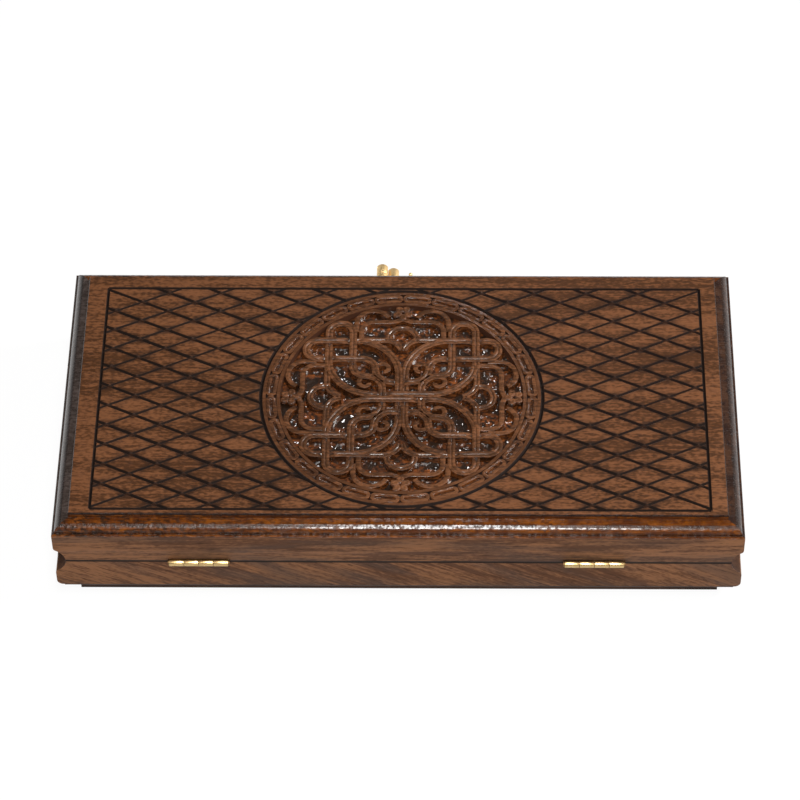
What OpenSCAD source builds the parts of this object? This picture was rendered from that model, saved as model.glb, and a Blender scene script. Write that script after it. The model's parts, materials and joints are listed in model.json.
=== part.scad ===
// Backgammon set: a folding walnut case with a carved lid, brass hinges and a hook latch,
// holding checkers and dice. Closed case, origin at the centre of its underside, hinges towards -Y.

/* [Case] */
// Length of the closed case
case_l = 500; // [440:1:600]
// Depth of the closed case, front to back
case_w = 254; // [230:1:300]
// Height of the rails of one half
rail_h = 28; // [26:0.5:40]
// Thickness of the outer panel of one half
panel_t = 13; // [11:0.5:20]
// Thickness of the front and back rails
rail_t = 16; // [15:0.5:22]
// Thickness of the end rails
end_t = 20; // [16:0.5:26]

/* [Edge moulding] */
// Width of the moulding, from the outer face to the flat of the panel
mould_w = 12; // [11:0.5:16]
// Width of the small ledge at the foot of the moulding
foot_w = 2; // [1:0.1:3]
// Height of that ledge above the rail
foot_h = 1; // [0.5:0.1:1.5]
// Height at which the rounded part starts
round_h = 3; // [2:0.1:4]
// Radius of the rounded part
round_r = 8; // [7:0.1:8.5]
// Distance of the rounded part's centre from the outer face
round_in = 9.3; // [8.8:0.1:9.8]
// Depth of the rounded part's centre below the foot of the moulding
round_sink = 0.3; // [0:0.1:0.6]
// Height of the shelf between the rounded part and the step
shelf_h = 7.5; // [6.4:0.1:7.6]

/* [Base] */
// Distance of the plinth under the tray from the ends of the case
plinth_end = 16; // [13:0.5:30]
// Distance of the plinth from the front and the back
plinth_side = 7; // [4:0.5:12]
// Height of the plinth
plinth_h = 5; // [2:0.5:6]

/* [Finger coves] */
// Depth of the finger cove at the seam
cove_d = 8.2; // [5:0.1:10]
// Height of the finger cove on each half
cove_h = 12.3; // [9:0.1:15]

/* [Carving] */
// Plain flat left of the carved field
field_left = 15.5; // [8:0.1:30]
// Plain flat right of the carved field
field_right = 12.5; // [8:0.1:30]
// Plain flat in front of the carved field
field_front = 4; // [3:0.1:20]
// Plain flat behind the carved field
field_back = 12; // [3:0.1:20]
// Width of the groove around the field
frame_groove_w = 2.4; // [1.5:0.1:4]
// Depth of the groove around the field
frame_groove_d = 1.8; // [1:0.1:3]
// Space between the field's groove and the groove around the medallion
ring_space = 2.6; // [2.6:0.1:20]
// Width of the groove around the medallion
ring_groove_w = 2.8; // [1.5:0.1:4]
// Number of lattice diamonds along the field
diamonds_along = 11.34; // [8:0.01:16]
// Number of lattice diamonds across the field
diamonds_across = 11.5; // [8:0.01:16]
// Width of a lattice groove
lattice_groove_w = 2; // [1:0.1:3]
// Depth of a lattice groove
lattice_groove_d = 1.4; // [0.8:0.1:2.5]
// Width of the border between that groove and the sunk ground
border_w = 14.4; // [8:0.1:30]
// Depth of the sunk ground of the medallion
ground_d = 4.5; // [2:0.1:6]
// Width of a carved strap on that ground
strap_w = 4.8; // [3:0.1:6]
// Depth of the straps' tops below the face
strap_sink = 0.1; // [0.05:0.05:0.5]

/* [Playing board] */
// Thickness of a playing board
board_t = 4; // [3:0.1:6]
// Clearance around a playing board
board_gap = 0.15; // [0.05:0.05:0.3]
// Number of points side by side at one end of a board
points_across = 6; // [6:1:6]
// Length of an inlaid point
point_l = 178; // [120:1:190]
// Bare strip between neighbouring points at their bases
point_space = 2; // [1:0.1:6]
// Thickness of the inlay
inlay_t = 1.2; // [0.8:0.1:1.5]
// Clearance around an inlay
inlay_gap = 0.05; // [0.02:0.01:0.1]

/* [Checkers and dice] */
// Diameter of a checker
checker_d = 34; // [28:0.5:35]
// Thickness of a checker
checker_h = 9; // [7:0.5:12]
// Chamfer on a checker's edges
checker_chamfer = 1; // [0.5:0.1:1.5]
// Width of a checker's raised rim
checker_rim = 4; // [3:0.1:6]
// Radius of a checker's raised middle
checker_boss_r = 5; // [3:0.1:7]
// Depth of the turned ring on a checker's faces
checker_ring_d = 0.8; // [0.4:0.1:1.2]
// Space between neighbouring checkers along the case
checker_space = 3; // [1:0.1:6]
// Height at which loose pieces lie above the board
seat_gap = 0.3; // [0.2:0.05:0.4]
// Edge length of a die
die_s = 14; // [10:0.5:18]
// Radius of the ball that rounds a die's corners, as a share of its edge
die_round = 0.7; // [0.6:0.01:0.8]
// Radius of a die's pips
pip_r = 1.3; // [0.8:0.1:1.5]
// Depth of a die's pips
pip_d = 0.6; // [0.3:0.1:1]

/* [Hinges] */
// Distance of each hinge from the middle between them
hinge_x = 143.6; // [100:0.1:180]
// Sideways place of that middle
hinge_dx = -1.2; // [-5:0.1:5]
// Length of a hinge
hinge_l = 43; // [36:0.5:60]
// Diameter of a hinge's barrel
barrel_d = 5.3; // [4.6:0.1:6.4]
// Diameter of a hinge's pin
pin_d = 2.6; // [2:0.1:3]
// Diameter of the button at each end of a pin
pin_head_d = 4.2; // [3.4:0.1:4.6]
// Thickness of that button
pin_head_t = 0.8; // [0.5:0.1:1.2]
// Distance of the hinge axis in front of the case
hinge_out = 1.4; // [0.5:0.1:1.8]
// Thickness of a hinge leaf
leaf_t = 1.6; // [1.2:0.1:2]
// Reach of a leaf into the rail, from the front face
leaf_w = 12; // [10:0.5:13]
// Space left between the two leaves of a closed hinge
leaf_gap = 0.2; // [0.1:0.05:0.4]
// Space between neighbouring knuckles
knuckle_gap = 0.4; // [0.15:0.05:0.6]
// Radial clearance of a pin in a turning bore
pin_gap = 0.05; // [0.02:0.01:0.08]
// Clearance of the barrel in the notch of the rails
notch_gap = 0.4; // [0.3:0.05:0.8]

/* [Screws] */
// Diameter of a screw's shank
screw_d = 2.2; // [1.6:0.1:2.4]
// Diameter of a screw's head
screw_head_d = 4.2; // [3.4:0.1:4.6]
// Height of a screw's countersunk head
screw_head_h = 1.2; // [0.8:0.1:1.3]
// Length of a screw
screw_l = 10; // [7:0.5:12]
// Width of the slot in a screw's head
screw_slot = 0.7; // [0.5:0.05:0.9]
// Clearance around a screw
screw_gap = 0.05; // [0.02:0.01:0.1]

/* [Latch] */
// Sideways place of the latch on the back
latch_x = -15.2; // [-60:0.1:60]
// Height of the latch's pivot above the seam
pivot_up = 23; // [18:0.5:23]
// Depth of the catch's post below the seam
catch_down = 5.5; // [5:0.1:8]
// Thickness of the latch plates
latch_plate_t = 1.5; // [1.2:0.1:2.5]
// Radius of the middle of a latch plate
latch_boss_r = 4.6; // [4.2:0.1:4.9]
// Distance of the screws from the middle of a latch plate
latch_lobe_x = 7.6; // [7:0.1:10]
// Radius of the plate's ends, around the screws
latch_lobe_r = 3.3; // [2.8:0.1:4]
// Width of the strip between the ends
latch_strip_w = 5; // [4:0.1:6]
// Diameter of the pivot's and the catch's post
post_d = 3.4; // [2.6:0.1:4]
// Diameter of the pivot's knob
knob_d = 8.6; // [7:0.1:9]
// Height of the knob
knob_h = 9.3; // [4:0.1:11]
// Chamfer of the knob and the thumb boss
knob_chamfer = 1.2; // [0.5:0.1:1.8]
// Diameter of the catch post's head
catch_head_d = 5.8; // [5:0.1:7]
// Thickness of the catch post's head
catch_head_t = 1.2; // [0.8:0.1:2]
// Thickness of the hook
hook_t = 3.6; // [2.5:0.1:4.5]
// Height of the hook's bar
hook_bar_w = 4; // [3:0.1:5]
// Radius of the hook's eye and claw
hook_eye_r = 4.2; // [3.8:0.1:4.6]
// Radius of the hook's thumb boss
thumb_r = 4.2; // [3:0.1:4.4]
// Height of the thumb boss above the hook's bar
thumb_h = 8.5; // [3:0.1:10]
// Radius of the ball that moves the hook
ball_r = 1.5; // [1:0.1:2]
// Distance of the ball from the pivot
ball_at = 23; // [20:0.5:23]
// Height of the ball's centre above the hook's bar
ball_up = 8.7; // [4:0.1:10]
// Space in front of and behind the hook
hook_gap = 0.3; // [0.2:0.05:0.5]
// Tilt of the open hook below the horizontal
hook_tilt = 20; // [0:1:40]

/* [Hidden] */
$fn = 64;
cut = 1;
walnut = [0.45, 0.28, 0.19];
walnut_dark = [0.36, 0.24, 0.17];
maple = [0.86, 0.71, 0.49];
ebony = [0.16, 0.10, 0.07];
brass = [0.83, 0.66, 0.33];
ivory = [0.93, 0.89, 0.80];

half_h = rail_h + panel_t;
case_h = 2 * half_h;
inner_l = case_l - 2 * end_t;
inner_w = case_w - 2 * rail_t;
board_top = panel_t + board_t;

field_l = case_l - 2 * mould_w - field_left - field_right;
field_w = case_w - 2 * mould_w - field_front - field_back;
field_x = (field_left - field_right) / 2;
field_y = (field_front - field_back) / 2;
lattice_x = field_l / diamonds_along;
lattice_y = field_w / diamonds_across;
ring_r = field_w / 2 - ring_space;
ground_r = ring_r - border_w;

cove_r = (cove_d * cove_d + cove_h * cove_h) / (2 * cove_d);
cove_out = cove_r - cove_d;

point_pitch = inner_w / points_across;
checker_rows = 5;
checker_pitch = checker_d + checker_space;
checker_edge = checker_space + checker_d / 2;

hinge_y = -case_w / 2 - hinge_out;
barrel_r = barrel_d / 2;
pin_r = pin_d / 2;
knuckles = 4;
knuckle_l = hinge_l / knuckles;
leaf_clear = barrel_r + notch_gap;
leaf_reach = hinge_out + leaf_w;
leaf_screw_y = (leaf_clear + leaf_reach) / 2;
leaf_screw_x = hinge_l / 3;

post_r = post_d / 2;
hook_reach = pivot_up + catch_down;
hook_floor = latch_plate_t + hook_gap;
hook_top = hook_floor + hook_t;
thumb_at = knob_d / 2 + thumb_r + 2 * hook_gap;
claw_r = post_r + hook_gap;
claw_ease = hook_eye_r * hook_eye_r / (2 * hook_reach) + hook_gap;

COUNT = 15;
function numbered(name, i) = str(name, i < 10 ? "_0" : "_", i);

// Places the children of a tray part on the lid, mirrored in the seam
module on_lid() {
    translate([0, 0, case_h]) mirror([0, 0, 1]) children();
}

// Places children on the back face: x to the right, y downwards, z out of the face
module on_back(x, z) {
    translate([x, case_w / 2, z]) rotate([-90, 0, 0]) children();
}

// Rail and panel shapes, all for the tray half

// Section of the wood that the edge moulding takes away: x from the outer face, y up from the rail
module moulding_waste() {
    difference() {
        translate([-cut, foot_h]) square([mould_w + cut, panel_t - foot_h + cut]);
        translate([foot_w, 0]) square([mould_w, round_h]);
        intersection() {
            translate([round_in, -round_sink]) circle(r = round_r, $fn = 128);
            translate([foot_w, 0]) square([round_in - foot_w, shelf_h]);
        }
        translate([round_in - foot_w, 0]) square([mould_w, shelf_h]);
    }
}

// The moulding along one edge, running past both corners so that neighbours meet in a mitre
module moulding_cut(distance, length) {
    translate([-distance, length / 2 + cut, 0]) rotate([90, 0, 0])
        linear_extrude(length + 2 * cut) moulding_waste();
}

// A panel with its moulded edge, lying with its flat side up and its rail side at z = 0
module moulded_panel() {
    difference() {
        translate([-case_l / 2, -case_w / 2, 0]) cube([case_l, case_w, panel_t]);
        for (turn = [0, 180]) rotate([0, 0, turn]) moulding_cut(case_l / 2, case_w);
        for (turn = [90, 270]) rotate([0, 0, turn]) moulding_cut(case_w / 2, case_l);
    }
}

module finger_coves() {
    for (side = [-1, 1])
        translate([side * (case_l / 2 + cove_out), 0, half_h]) rotate([90, 0, 0])
            cylinder(r = cove_r, h = case_w + 2 * cut, center = true, $fn = 128);
}

module long_rail_blank(side) {
    translate([-case_l / 2, (side * (case_w - rail_t) - rail_t) / 2, panel_t])
        cube([case_l, rail_t, rail_h]);
}

module end_rail(side) {
    difference() {
        translate([(side * (case_l - end_t) - end_t) / 2, -inner_w / 2, panel_t])
            cube([end_t, inner_w, rail_h]);
        finger_coves();
    }
}

module front_rail() {
    difference() {
        long_rail_blank(-1);
        finger_coves();
        for (side = [-1, 1]) hinge_at(side) {
            hinge_mortise();
            leaf_screw_places() translate([0, 0, -leaf_gap / 2]) screw_hole();
        }
    }
}

module back_rail(plate_z) {
    difference() {
        long_rail_blank(1);
        finger_coves();
        latch_screw_places(plate_z) screw_hole();
    }
}

// Playing board and its inlaid points

// One point, as an outline on the board, with its base towards an end of the case
module point_outline(end, row, gap) {
    base = point_pitch - point_space - 2 * gap;
    y = (row - (points_across - 1) / 2) * point_pitch;
    translate([end * (inner_l / 2 - board_gap - point_space - gap), y])
        polygon([[0, -base / 2], [0, base / 2], [-end * (point_l - 2 * gap), 0]]);
}

// The points of one colour: neighbours alternate, and so do the points facing each other
module points(shade, gap) {
    translate([0, 0, board_top - inlay_t]) linear_extrude(inlay_t + (gap > 0 ? 0 : cut))
        for (end = [-1, 1], row = [0:points_across - 1])
            if ((row + (end > 0 ? 1 : 0)) % 2 == shade) point_outline(end, row, gap);
}

module board() {
    difference() {
        translate([-inner_l / 2 + board_gap, -inner_w / 2 + board_gap, panel_t])
            cube([inner_l - 2 * board_gap, inner_w - 2 * board_gap, board_t]);
        points(0, 0);
        points(1, 0);
    }
}

// Screws

module screw() {
    difference() {
        union() {
            translate([0, 0, -screw_head_h])
                cylinder(h = screw_head_h, r1 = screw_d / 2, r2 = screw_head_d / 2);
            translate([0, 0, -screw_l]) cylinder(h = screw_l - screw_head_h / 2, d = screw_d);
        }
        cube([screw_head_d + cut, screw_slot, screw_slot], center = true);
    }
}

module screw_hole() {
    translate([0, 0, -screw_l - screw_gap])
        cylinder(h = screw_l + screw_gap + cut, r = screw_d / 2 + screw_gap);
}

module countersink() {
    screw_hole();
    translate([0, 0, -screw_head_h])
        cylinder(h = screw_head_h, r1 = screw_d / 2 + screw_gap, r2 = screw_head_d / 2 + screw_gap);
}

// Hinges, with the axis along X through the origin and the tray's leaf below

module hinge_mortise() {
    rotate([0, 90, 0])
        cylinder(r = leaf_clear, h = hinge_l + 2 * (pin_head_t + notch_gap), center = true);
    translate([-hinge_l / 2 - leaf_gap, 0, -leaf_gap / 2 - leaf_t])
        cube([hinge_l + 2 * leaf_gap, leaf_reach + leaf_gap, leaf_t + leaf_gap]);
}

module leaf_screw_places() {
    for (i = [-1:1]) translate([i * leaf_screw_x, leaf_screw_y, 0]) children();
}

// A leaf with its knuckles: the first knuckle is number 0 at the left end
module hinge_leaf(first) {
    difference() {
        union() {
            translate([-hinge_l / 2, leaf_clear, -leaf_gap / 2 - leaf_t])
                cube([hinge_l, leaf_reach - leaf_clear, leaf_t]);
            for (i = [first:2:knuckles - 1])
                translate([-hinge_l / 2 + i * knuckle_l + knuckle_gap / 2, 0, 0]) {
                    rotate([0, 90, 0]) cylinder(r = barrel_r, h = knuckle_l - knuckle_gap);
                    translate([0, 0, -leaf_gap / 2 - leaf_t])
                        cube([knuckle_l - knuckle_gap, leaf_clear + leaf_gap, leaf_t]);
                }
        }
        rotate([0, 90, 0]) cylinder(r = pin_r + pin_gap, h = hinge_l + 2 * cut, center = true);
        leaf_screw_places() translate([0, 0, -leaf_gap / 2]) countersink();
    }
}

module hinge_pin() {
    rotate([0, 90, 0]) {
        cylinder(r = pin_r, h = hinge_l + pin_head_t, center = true);
        for (side = [-1, 1])
            translate([0, 0, side * (hinge_l + pin_head_t) / 2])
                cylinder(d = pin_head_d, h = pin_head_t, center = true);
    }
}

// The two leaves turn in each other's planes, so the lid's is the tray's turned over
module hinge_at(side) {
    translate([hinge_dx + side * hinge_x, hinge_y, half_h]) children();
}

module lid_leaf() {
    mirror([0, 0, 1]) hinge_leaf(0);
}

// Latch, with z out of the back face

module latch_screw_places(plate_z) {
    on_back(latch_x, plate_z)
        for (side = [-1, 1]) translate([side * latch_lobe_x, 0, 0]) children();
}

module latch_plate_blank() {
    cylinder(r = latch_boss_r, h = latch_plate_t);
    translate([-latch_lobe_x, -latch_strip_w / 2, 0]) cube([2 * latch_lobe_x, latch_strip_w, latch_plate_t]);
    for (side = [-1, 1]) translate([side * latch_lobe_x, 0, 0]) cylinder(r = latch_lobe_r, h = latch_plate_t);
}

module latch_plate_drilled() {
    difference() {
        latch_plate_blank();
        for (side = [-1, 1]) translate([side * latch_lobe_x, 0, latch_plate_t]) countersink();
        children();
    }
}

// A turned post with a chamfered knob
module knob(head_from, head_h, head_r, chamfer) {
    cylinder(r = post_r, h = head_from + head_h / 2);
    translate([0, 0, head_from]) rotate_extrude()
        polygon([[0, 0], [head_r, 0], [head_r, head_h - chamfer], [head_r - chamfer, head_h], [0, head_h]]);
}

// The hook's shape, pointing along x, with its claw open towards +y
module hook_blank() {
    difference() {
        union() {
            cylinder(r = hook_eye_r, h = hook_t);
            translate([0, -hook_bar_w / 2, 0]) cube([hook_reach, hook_bar_w, hook_t]);
            translate([hook_reach, 0, 0]) cylinder(r = hook_eye_r, h = hook_t);
            translate([thumb_at, 0, 0]) rotate_extrude()
                polygon([[0, 0], [thumb_r, 0], [thumb_r, hook_t + thumb_h - knob_chamfer],
                         [thumb_r - knob_chamfer, hook_t + thumb_h], [0, hook_t + thumb_h]]);
            translate([ball_at, 0, 0]) {
                cylinder(r = ball_r / 2, h = hook_t + ball_up);
                translate([0, 0, hook_t + ball_up]) sphere(r = ball_r);
            }
        }
        translate([0, 0, -cut]) cylinder(r = post_r + pin_gap, h = hook_t + 2 * cut);
        translate([hook_reach, 0, -cut]) cylinder(r = claw_r, h = hook_t + 2 * cut);
        translate([hook_reach - claw_r - claw_ease, 0, -cut])
            cube([2 * claw_r + claw_ease, hook_eye_r + cut, hook_t + 2 * cut]);
    }
}

// Loose pieces

module checker() {
    r = checker_d / 2;
    well = r - checker_rim;
    rotate_extrude() polygon([
        [0, 0], [checker_boss_r, 0],
        [checker_boss_r + checker_ring_d, checker_ring_d], [well - checker_ring_d, checker_ring_d], [well, 0],
        [r - checker_chamfer, 0], [r, checker_chamfer],
        [r, checker_h - checker_chamfer], [r - checker_chamfer, checker_h],
        [well, checker_h], [well - checker_ring_d, checker_h - checker_ring_d],
        [checker_boss_r + checker_ring_d, checker_h - checker_ring_d], [checker_boss_r, checker_h],
        [0, checker_h]]);
}

// Places checker number i of one end: columns run from the end of the case, rows along the points
module checker_place(end, i) {
    column = floor((i - 1) / checker_rows);
    row = (i - 1) % checker_rows;
    translate([end * (inner_l / 2 - checker_edge - column * checker_pitch),
               (row - (checker_rows - 1) / 2) * point_pitch, board_top + seat_gap])
        children();
}

// Pip places of a face, by its number, as steps from its middle
function pips(n) = concat(
    n % 2 == 1 ? [[0, 0]] : [],
    n > 1 ? [[-1, -1], [1, 1]] : [],
    n > 3 ? [[-1, 1], [1, -1]] : [],
    n == 6 ? [[-1, 0], [1, 0]] : []);

module face_pips(n) {
    sink = (pip_r * pip_r - pip_d * pip_d) / (2 * pip_d);
    for (p = pips(n)) translate([p[0] * die_s / 4, p[1] * die_s / 4, die_s / 2 + sink])
        sphere(r = pip_d + sink, $fn = 32);
}

module die() {
    difference() {
        intersection() {
            cube(die_s, center = true);
            sphere(r = die_s * die_round);
        }
        face_pips(6);
        rotate([180, 0, 0]) face_pips(1);
        rotate([90, 0, 0]) face_pips(5);
        rotate([-90, 0, 0]) face_pips(2);
        rotate([0, 90, 0]) face_pips(3);
        rotate([0, -90, 0]) face_pips(4);
    }
}

// Carving of the lid, on a panel whose flat face is at z = 0

// A straight V groove from one place on the face to another
module v_groove(start, length, angle, width, depth) {
    translate([start[0], start[1], 0]) rotate([90, 0, angle + 90]) linear_extrude(length)
        polygon([[0, -depth], [width, depth], [-width, depth]]);
}

// Where a lattice line that crosses the middle of the field at x = a runs: its stretches outside the ring
lattice_angle = atan2(lattice_y, lattice_x);
line_c = cos(lattice_angle);
line_s = sin(lattice_angle);
function line_from(a) = max(-field_w / 2 / line_s, (-field_l / 2 - a) / line_c);
function line_to(a) = min(field_w / 2 / line_s, (field_l / 2 - a) / line_c);
function ring_room(a) = ring_r * ring_r - a * a * line_s * line_s;
function stretches(a, from, to) = ring_room(a) <= 0 ? [[from, to]] :
    [[from, -a * line_c - sqrt(ring_room(a))], [-a * line_c + sqrt(ring_room(a)), to]];

module lattice_lines() {
    count = ceil((field_l + field_w * line_c / line_s) / 2 / lattice_x);
    for (i = [-count:count]) for (s = stretches(i * lattice_x, line_from(i * lattice_x), line_to(i * lattice_x)))
        if (s[1] - s[0] > lattice_groove_w)
            v_groove([i * lattice_x + s[0] * line_c, s[0] * line_s], s[1] - s[0], lattice_angle,
                     lattice_groove_w, lattice_groove_d);
}

module ring_groove(radius, width, depth) {
    rotate_extrude($fn = 180) translate([radius, 0])
        polygon([[0, -depth], [width, depth], [-width, depth]]);
}

module frame_groove() {
    x = field_l / 2;
    y = field_w / 2;
    for (side = [-1, 1]) {
        v_groove([-x, side * y], field_l, 0, frame_groove_w, frame_groove_d);
        v_groove([side * x, -y], field_w, 90, frame_groove_w, frame_groove_d);
    }
}

// The main straps on the ground: a strap runs from the middle in a wide arc to a corner, loops there and
// crosses its mirror image. Places are shares of the ground's radius.
strap_deep = ground_d + strap_sink;
function at(share) = share * ground_r;

module strap_bar(x, from, to) {
    translate([x - strap_w / 2, from, -strap_deep]) cube([strap_w, to - from, ground_d]);
}

// Part of a round strap, a little narrower than the bars that it runs into: the part inside a box
module strap_arc(x, y, radius, low, high) {
    wide = strap_w / 2 - 0.2;
    translate([x, y, -strap_deep]) intersection() {
        difference() {
            cylinder(r = radius + wide, h = ground_d, $fn = 96);
            translate([0, 0, -cut]) cylinder(r = radius - wide, h = ground_d + 2 * cut, $fn = 96);
        }
        translate([low[0] * 2 * radius, low[1] * 2 * radius, -cut])
            cube([(high[0] - low[0]) * 2 * radius, (high[1] - low[1]) * 2 * radius, ground_d + 2 * cut]);
    }
}

module strap_eighth() {
    strap_arc(at(0.233), at(0.404), at(0.378), [0, -1], [1, 0]);
    strap_bar(at(0.611), at(0.146), at(0.704));
    strap_arc(at(0.511), at(0.7), at(0.1), [-1, 0], [1, 1]);
    strap_bar(at(0.411), at(0.329), at(0.704));
    strap_arc(at(0.3), at(0.333), at(0.111), [0, -1], [1, 0]);
    strap_arc(at(0.3), at(0.083), at(0.139), [-1, 0], [0, 1]);
    strap_bar(at(0.161), at(0.03), at(0.087));
    strap_arc(at(0.467), at(0.15), at(0.144), [0, -1], [1, 0]);
}

module strapwork() {
    for (turn = [0, 90, 180, 270]) rotate([0, 0, turn]) {
        strap_eighth();
        mirror([1, -1, 0]) strap_eighth();
        translate([0, -strap_w, -strap_deep]) cube([at(0.26), 2 * strap_w, ground_d]);
        strap_arc(0, at(0.639), at(0.116), [-1, 0], [1, 1]);
    }
}

// Cuts the lattice one way, then the other way, then the grooves that bound it and the ground
module carved() {
    difference() {
        difference() {
            difference() {
                children();
                lattice_lines();
            }
            mirror([0, 1, 0]) lattice_lines();
        }
        frame_groove();
        ring_groove(ring_r, ring_groove_w, frame_groove_d);
        translate([0, 0, -ground_d]) cylinder(r = ground_r, h = ground_d + cut, $fn = 180);
    }
}

// Sub-parts

module tray_panel() {
    color(walnut_dark) {
        translate([0, 0, panel_t]) mirror([0, 0, 1]) moulded_panel();
        translate([plinth_end - case_l / 2, plinth_side - case_w / 2, 0])
            cube([case_l - 2 * plinth_end, case_w - 2 * plinth_side, plinth_h]);
    }
}

module tray_front_rail() {
    color(walnut_dark) front_rail();
}

module tray_back_rail() {
    color(walnut_dark) back_rail(half_h - catch_down);
}

module tray_left_end() {
    color(walnut_dark) end_rail(-1);
}

module tray_right_end() {
    color(walnut_dark) end_rail(1);
}

module tray_board() {
    color(walnut) board();
}

module tray_light_points() {
    color(maple) points(0, inlay_gap);
}

module tray_dark_points() {
    color(ebony) points(1, inlay_gap);
}

module lid_carved_panel() {
    color(walnut) translate([field_x, field_y, case_h]) {
        carved() translate([-field_x, -field_y, -panel_t]) moulded_panel();
        strapwork();
    }
}

module lid_front_rail() {
    color(walnut) on_lid() front_rail();
}

module lid_back_rail() {
    color(walnut) on_lid() back_rail(half_h - pivot_up);
}

module lid_left_end() {
    color(walnut) on_lid() end_rail(-1);
}

module lid_right_end() {
    color(walnut) on_lid() end_rail(1);
}

module lid_board() {
    color(walnut) on_lid() board();
}

module lid_light_points() {
    color(maple) on_lid() points(0, inlay_gap);
}

module lid_dark_points() {
    color(ebony) on_lid() points(1, inlay_gap);
}

module hinge_left_tray_leaf() {
    color(brass) hinge_at(-1) hinge_leaf(1);
}

module hinge_left_lid_leaf() {
    color(brass) hinge_at(-1) lid_leaf();
}

module hinge_left_pin() {
    color(brass) hinge_at(-1) hinge_pin();
}

module hinge_right_tray_leaf() {
    color(brass) hinge_at(1) hinge_leaf(1);
}

module hinge_right_lid_leaf() {
    color(brass) hinge_at(1) lid_leaf();
}

module hinge_right_pin() {
    color(brass) hinge_at(1) hinge_pin();
}

// The hinge screws of one half, with their heads flush in the leaf
module hinge_screws() {
    for (side = [-1, 1]) hinge_at(side) leaf_screw_places() translate([0, 0, -leaf_gap / 2]) screw();
}

module tray_brass_screws() {
    color(brass) {
        hinge_screws();
        latch_screw_places(half_h - catch_down) translate([0, 0, latch_plate_t]) screw();
    }
}

module lid_brass_screws() {
    color(brass) {
        on_lid() hinge_screws();
        latch_screw_places(half_h + pivot_up) translate([0, 0, latch_plate_t]) screw();
    }
}

module latch_plate() {
    color(brass) on_back(latch_x, half_h + pivot_up) latch_plate_drilled()
        translate([0, 0, -cut]) cylinder(r = post_r + pin_gap, h = latch_plate_t + 2 * cut);
}

module latch_pivot() {
    color(brass) on_back(latch_x, half_h + pivot_up)
        knob(hook_top + hook_gap, knob_h, knob_d / 2, knob_chamfer);
}

module latch_hook() {
    color(brass) on_back(latch_x, half_h + pivot_up) translate([0, 0, hook_floor])
        rotate([0, 0, hook_tilt]) hook_blank();
}

module latch_catch() {
    color(brass) on_back(latch_x, half_h - catch_down) {
        latch_plate_drilled();
        knob(hook_top + hook_gap, catch_head_t, catch_head_d / 2, catch_head_t / 2);
    }
}

module die_left() {
    color(ivory) translate([-die_s, -die_s / 2, board_top + seat_gap + die_s / 2]) die();
}

module die_right() {
    color(ivory) translate([die_s, die_s / 2, board_top + seat_gap + die_s / 2]) rotate([0, 90, 0]) die();
}

module light_checker(i) {
    color(maple) checker_place(-1, i) checker();
}

module dark_checker(i) {
    color(ebony) checker_place(1, i) checker();
}

tray_panel();
tray_front_rail();
tray_back_rail();
tray_left_end();
tray_right_end();
tray_board();
tray_light_points();
tray_dark_points();
lid_carved_panel();
lid_front_rail();
lid_back_rail();
lid_left_end();
lid_right_end();
lid_board();
lid_light_points();
lid_dark_points();
hinge_left_tray_leaf();
hinge_left_lid_leaf();
hinge_left_pin();
hinge_right_tray_leaf();
hinge_right_lid_leaf();
hinge_right_pin();
tray_brass_screws();
lid_brass_screws();
latch_plate();
latch_pivot();
latch_hook();
latch_catch();
die_left();
die_right();
for (i = [1:COUNT]) light_checker(i);
for (i = [1:COUNT]) dark_checker(i);
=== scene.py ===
"""A walnut backgammon case with a carved lid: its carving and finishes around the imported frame."""

import json
import logging
import math
import random
from dataclasses import dataclass
from enum import Enum
from typing import Callable, Sequence

import bpy
from mathutils import Matrix, Vector

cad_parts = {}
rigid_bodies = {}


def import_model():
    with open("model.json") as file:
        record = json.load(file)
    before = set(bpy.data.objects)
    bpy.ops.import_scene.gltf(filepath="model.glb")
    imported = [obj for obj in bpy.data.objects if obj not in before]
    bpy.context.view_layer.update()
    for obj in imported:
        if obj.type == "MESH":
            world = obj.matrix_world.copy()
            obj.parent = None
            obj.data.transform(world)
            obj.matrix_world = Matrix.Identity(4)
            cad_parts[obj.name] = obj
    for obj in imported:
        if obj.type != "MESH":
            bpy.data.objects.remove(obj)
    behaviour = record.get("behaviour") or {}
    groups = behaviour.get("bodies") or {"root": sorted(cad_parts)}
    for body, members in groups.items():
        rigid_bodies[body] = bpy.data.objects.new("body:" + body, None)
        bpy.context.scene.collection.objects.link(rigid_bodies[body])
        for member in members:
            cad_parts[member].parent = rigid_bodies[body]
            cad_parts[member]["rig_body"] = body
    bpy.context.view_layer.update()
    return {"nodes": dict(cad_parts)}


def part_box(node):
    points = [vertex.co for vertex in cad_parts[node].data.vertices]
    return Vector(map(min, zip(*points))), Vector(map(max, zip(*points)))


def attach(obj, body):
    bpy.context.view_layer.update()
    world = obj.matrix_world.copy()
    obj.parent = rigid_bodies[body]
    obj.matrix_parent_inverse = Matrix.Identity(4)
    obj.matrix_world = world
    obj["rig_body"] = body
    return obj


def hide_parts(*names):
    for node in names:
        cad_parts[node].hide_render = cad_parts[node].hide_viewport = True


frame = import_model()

MM = 0.001
LOG = logging.getLogger("backgammon_case")

Colour = tuple[float, float, float]
Place = tuple[float, float]


# Materials


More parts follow.
